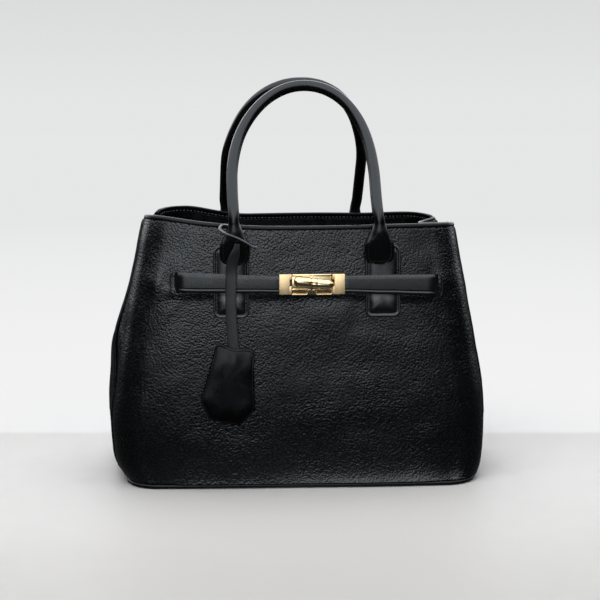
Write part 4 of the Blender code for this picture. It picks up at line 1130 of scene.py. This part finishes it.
def make_key_case():
    # Round each plate from its back to its front: (distance inside the outline, distance out)
    for name, steps in (
            ("back", [(0.0004, 0.0), (0.0, 0.0004), (0.0, 0.0018), (0.0004, 0.0022)]),
            ("front", [(0.0004, 0.0025), (0.0, 0.0029), (0.0, 0.0038), (0.0004, 0.0043),
                       (0.0010, 0.0045), (0.0018, 0.0044), (0.0022, 0.00425), (0.0027, 0.0044),
                       (0.0036, 0.0046), (0.0060, 0.0048), (0.0090, 0.0050), (0.0130, 0.0051),
                       (0.0170, 0.0051)])):
        rings = []
        for inset, out in steps:
            ring = []
            for x, z in case_outline(inset):
                wave = 0.00035 * noise.noise(Vector((x * 70, z * 70, 5)))
                soft = wave * ramp(inset, 0.004, 0.006)
                if name == "front":
                    soft += case_swell(z) * smooth_step(inset / 0.0012)
                if inset > 0.001:
                    ridge = bump(x, CASE_TOP_X - 0.001, 0.006) * ramp(z, 0.106, 0.02)
                    soft += 0.0014 * ridge
                ring.append(case_point(x, z, out + soft))
            rings.append(ring)
        dress(loft("case_" + name, rings, CASE, 60), "key_case_" + name, body="key_case")
    line = case_outline(0.0021)
    line.append(line[0])
    at = [(case_point(x, z, 0.00428 + case_swell(z)), Vector((0, -1, 0))) for x, z in line]
    stitches("case_stitches", at, CASE, "key_case", 0.0031, 0.00032, 0.0001)


def make_hanging_strap():
    """The flat strap that the case hangs by; it narrows, leans and twists at its top."""
    rings = []
    for level in np.linspace(0, 1, 44):
        z = mix(CASE_TOP_Z - 0.006, STRAP_TOP.z, level)
        x = mix(CASE_TOP_X - 0.0014, STRAP_TOP.x, level) - 0.0024 * math.sin(math.pi * level)
        x += 0.0034 * ramp(z, 0.206, 0.026)
        near = 0.0056 * ramp(z - STRAP_TOP.z, -0.030, 0.030)
        twist = math.radians(8 + 34 * ramp(z, 0.216, 0.014))
        half = 0.0051 - 0.0020 * ramp(z, 0.217, 0.014)
        ring = []
        for ca, sa in circle(24):
            dx = half * signed_power(ca, 0.35)
            dy = (0.0009 + 0.0003 * (1 - (dx / half) ** 2)) * signed_power(sa, 0.6)
            across = dx * math.cos(twist) - dy * math.sin(twist)
            out = dy * math.cos(twist) + dx * math.sin(twist)
            ring.append(case_point(x + across + half * (1 - math.cos(twist)) * 0.6, z,
                                   near + 0.0010 + half * math.sin(twist) * 0.8 + out))
        rings.append(ring)
    dress(loft("hanging_strap", rings, STRAP, 60), "key_case_strap", body="key_case")


def make_neck_loop():
    """The band round the left neck, from its hidden end to its loose tail in front."""
    neck = Vector((-TAB_X, -tab_middle(NECK_TOP), 0))
    behind, ahead = HANDLE_RADIUS + CLEAR + 0.0007, HANDLE_RADIUS + 2 * CLEAR + 0.0025
    # x and y from the neck's middle, z, turn about the band's line in degrees, width
    route = [(0.0085, behind - 0.0004, 0.2392, 70, 0.0036), (0.0, behind, 0.2425, 60, 0.0036),
             (-0.0078, behind - 0.0004, 0.2462, 20, 0.0026), (-0.0120, 0.0015, 0.2464, 5, 0.0024),
             (-0.0134, -0.0050, 0.2434, 0, 0.0028), (-0.0078, -ahead, 0.2400, 0, 0.0042),
             (0.0010, -ahead - 0.0004, 0.2366, 0, 0.0045),
             (0.0085, -ahead + 0.0004, 0.2326, 0, 0.0045),
             (0.0150, -ahead + 0.0014, 0.2286, 0, 0.0045),
             (0.0200, -ahead + 0.0020, 0.2270, 0, 0.0042)]
    count = 70
    path = rounded_curve([r[:3] for r in route], count)
    turns, widths = [drawn_out([r[k] for r in route], count) for k in (3, 4)]
    rings = []
    for i in range(count):
        along = (path[min(i + 1, count - 1)] - path[max(i - 1, 0)]).normalized()
        level = along.cross(Vector((0, 0, 1))).normalized()
        upright = level.cross(along)
        turn = math.radians(turns[i])
        across = level * math.cos(turn) + upright * math.sin(turn)
        thick = along.cross(across)
        rings.append([neck + path[i] + across * widths[i] * 0.5 * signed_power(ca, 0.4)
                      + thick * 0.0007 * signed_power(sa, 0.6) for ca, sa in circle(20)])
    dress(loft("neck_loop", rings, PAINTED_HIGHLIGHT_LOOP, 60), "key_case_loop")


# Surroundings


def reflected_room(n, direction):
    """How bright the studio is in a mirror: a window in front and a softbox above a dark floor."""
    split = n.add("ShaderNodeSeparateXYZ", {0: direction}).outputs
    front = n.eased(split["Y"], -0.99, -0.82, 2.8, 0.06)
    behind = n.eased(split["Y"], 0.0, 0.5, 0.0, 1.9)
    right = n.eased(split["X"], -0.06, 0.24, 1.0, 0.30)
    left = n.eased(split["X"], -0.50, -0.16, 0.5, 1.0)
    above = n.math("MULTIPLY", n.eased(split["Z"], 0.26, 0.46, 0.0, 2.2),
                   n.eased(split["Y"], 0.0, 0.5, 1.0, 0.0))
    front = n.math("MULTIPLY", n.math("MULTIPLY", front, right), left)
    around = n.math("ADD", front, n.math("MAXIMUM", behind, above))
    return n.math("MULTIPLY", n.eased(split["Z"], 0.01, 0.115, 0.04), around)


def make_floor():
    """A pale table with painted shade that goes over into a wall with painted light behind the bag.
    """
    low, (left, right, near, far) = -0.0003, (-6, 6, -6, 12)
    mesh = bpy.data.meshes.new("floor")
    mesh.from_pydata([(left, near, low), (right, near, low), (right, far, low), (left, far, low)],
                     [], [(0, 1, 2, 3)])
    floor = add_object("floor", mesh)
    n = Look("pale floor")
    away = n.add("ShaderNodeVectorMath", {0: n.place}, operation="LENGTH").outputs["Value"]
    grain = n.noise(55.0, 4.0)
    sides = n.add("ShaderNodeSeparateXYZ", {0: n.place}).outputs
    split = n.math("ADD", sides["Y"], n.math("MULTIPLY", sides["X"], 0.061))
    behind = n.eased(split, 0.104, 0.124)
    # Painted shade: the table darkens towards the camera; it is also darker along its back edge.
    table = n.blend(n.eased(split, -0.10, -0.36), (0.755, 0.744, 0.735, 1),
                    (0.640, 0.630, 0.620, 1))
    table = n.blend(n.eased(split, 0.02, 0.11), table, (0.71, 0.70, 0.69, 1))
    table = n.blend(n.math("MULTIPLY", grain, 0.12), table, (0.70, 0.69, 0.68, 1))
    n.set(Base_Color=n.blend(behind, table, (0.83, 0.83, 0.835, 1)),
          Roughness=n.ranged(grain, 0.3, 0.7, 0.5, 0.62), Normal=n.relief(grain, 0.05, 0.001))
    rays = n.add("ShaderNodeLightPath").outputs
    # Painted light: to the camera the floor behind the table line glows as the wall, brightest near
    # the table and dimmer further away.
    wall = n.blend(n.ranged(away, 0.2, 2.6), (0.905, 0.905, 0.905, 1), (0.79, 0.793, 0.797, 1))
    seen = n.math("MULTIPLY", n.math("MULTIPLY", n.eased(away, 0.16, 0.50), behind),
                  rays["Is Camera Ray"])
    # Painted light: in mirrors the table glows faintly, more near the bag, so that the bag reflects
    # a lit table.
    mirrored = n.math("MULTIPLY", n.eased(away, 0.04, 0.12), rays["Is Glossy Ray"])
    shader = n.shader.outputs[0]
    for factor, colour, strength in ((seen, wall, 1.0),
                                     (mirrored, DAYLIGHT, n.eased(away, 0.10, 0.26, 0.15, 0.04))):
        glow = n.add("ShaderNodeEmission", {"Color": colour, "Strength": strength}).outputs[0]
        shader = n.add("ShaderNodeMixShader", {0: factor, 1: shader, 2: glow}).outputs[0]
    n.put(n.tree.nodes["Material Output"].inputs["Surface"], shader)
    mesh.materials.append(n.material)


def make_world():
    """A grey room to the camera, the studio to a mirror and a weak even light to the rest."""
    world = bpy.data.worlds.new("studio")
    bpy.context.scene.world = world
    world.use_nodes = True
    w = Nodes(world.node_tree)
    facing = w.add("ShaderNodeTexCoord").outputs["Generated"]
    up = w.add("ShaderNodeSeparateXYZ", {0: facing}).outputs["Z"]
    # Painted light: the wall that the camera sees is lighter low down and darker higher up.
    wall = w.blend(w.ranged(up, 0.0, 0.09), (0.785, 0.788, 0.792, 1), (0.70, 0.703, 0.706, 1))
    rays = w.add("ShaderNodeLightPath").outputs
    level = w.add("ShaderNodeMix", {0: rays["Is Glossy Ray"], 2: 0.11,
                                    3: reflected_room(w, facing)})
    light = w.add("ShaderNodeBackground", {"Color": DAYLIGHT, "Strength": level.outputs[0]})
    seen = w.add("ShaderNodeBackground", {"Color": wall})
    mixed = w.add("ShaderNodeMixShader", {0: rays["Is Camera Ray"], 1: light.outputs[0],
                                          2: seen.outputs[0]})
    w.put(w.tree.nodes["World Output"].inputs["Surface"], mixed.outputs[0])


def make_lights():
    aim = Vector((0, 0, 0.17))
    for name, spot, size, power in (("key", (-0.45, -0.60, 1.45), (1.2, 0.8), 11.6),
                                    ("fill", (1.25, -0.5, 0.9), (0.9, 1.1), 2.3),
                                    ("top", (0.1, 0.22, 1.6), (1.4, 0.8), 14.5)):
        lamp = bpy.data.lights.new(name, "AREA")
        lamp.shape = "RECTANGLE"
        lamp.size, lamp.size_y = size
        lamp.energy = power
        holder = add_object(name, lamp)
        holder.location = spot
        holder.visible_glossy = False
        holder.rotation_euler = (aim - Vector(spot)).to_track_quat("-Z", "Y").to_euler()


def make_camera():
    """The camera that was fitted to the photograph."""
    camera = add_object("camera", bpy.data.cameras.new("camera"))
    camera.location = (-0.0745, -1.175, 0.359)
    camera.rotation_euler = (math.radians(90 - 9.34), 0, math.radians(-3.5))
    camera.data.sensor_width = 36
    camera.data.lens = 72.96
    bpy.context.scene.camera = camera
    bpy.context.scene.view_settings.view_transform = "Standard"


for stretch in ("front", "back"):
    make_panel(stretch)
    make_binding(stretch)
    make_facing(stretch)
for stretch in ("left", "right"):
    make_gusset(stretch)
make_lining()
make_pipings()
make_base()
for side, word in ((FRONT, "front"), (BACK, "back")):
    for end, end_word in ENDS:
        make_patch(side, end, f"{word}_{end_word}_patch")
    make_handle(side, word)
for end, word in ENDS:
    make_belt(end, word)
make_lock()
make_key_case()
make_hanging_strap()
make_neck_loop()
make_floor()
make_world()
make_lights()
make_camera()
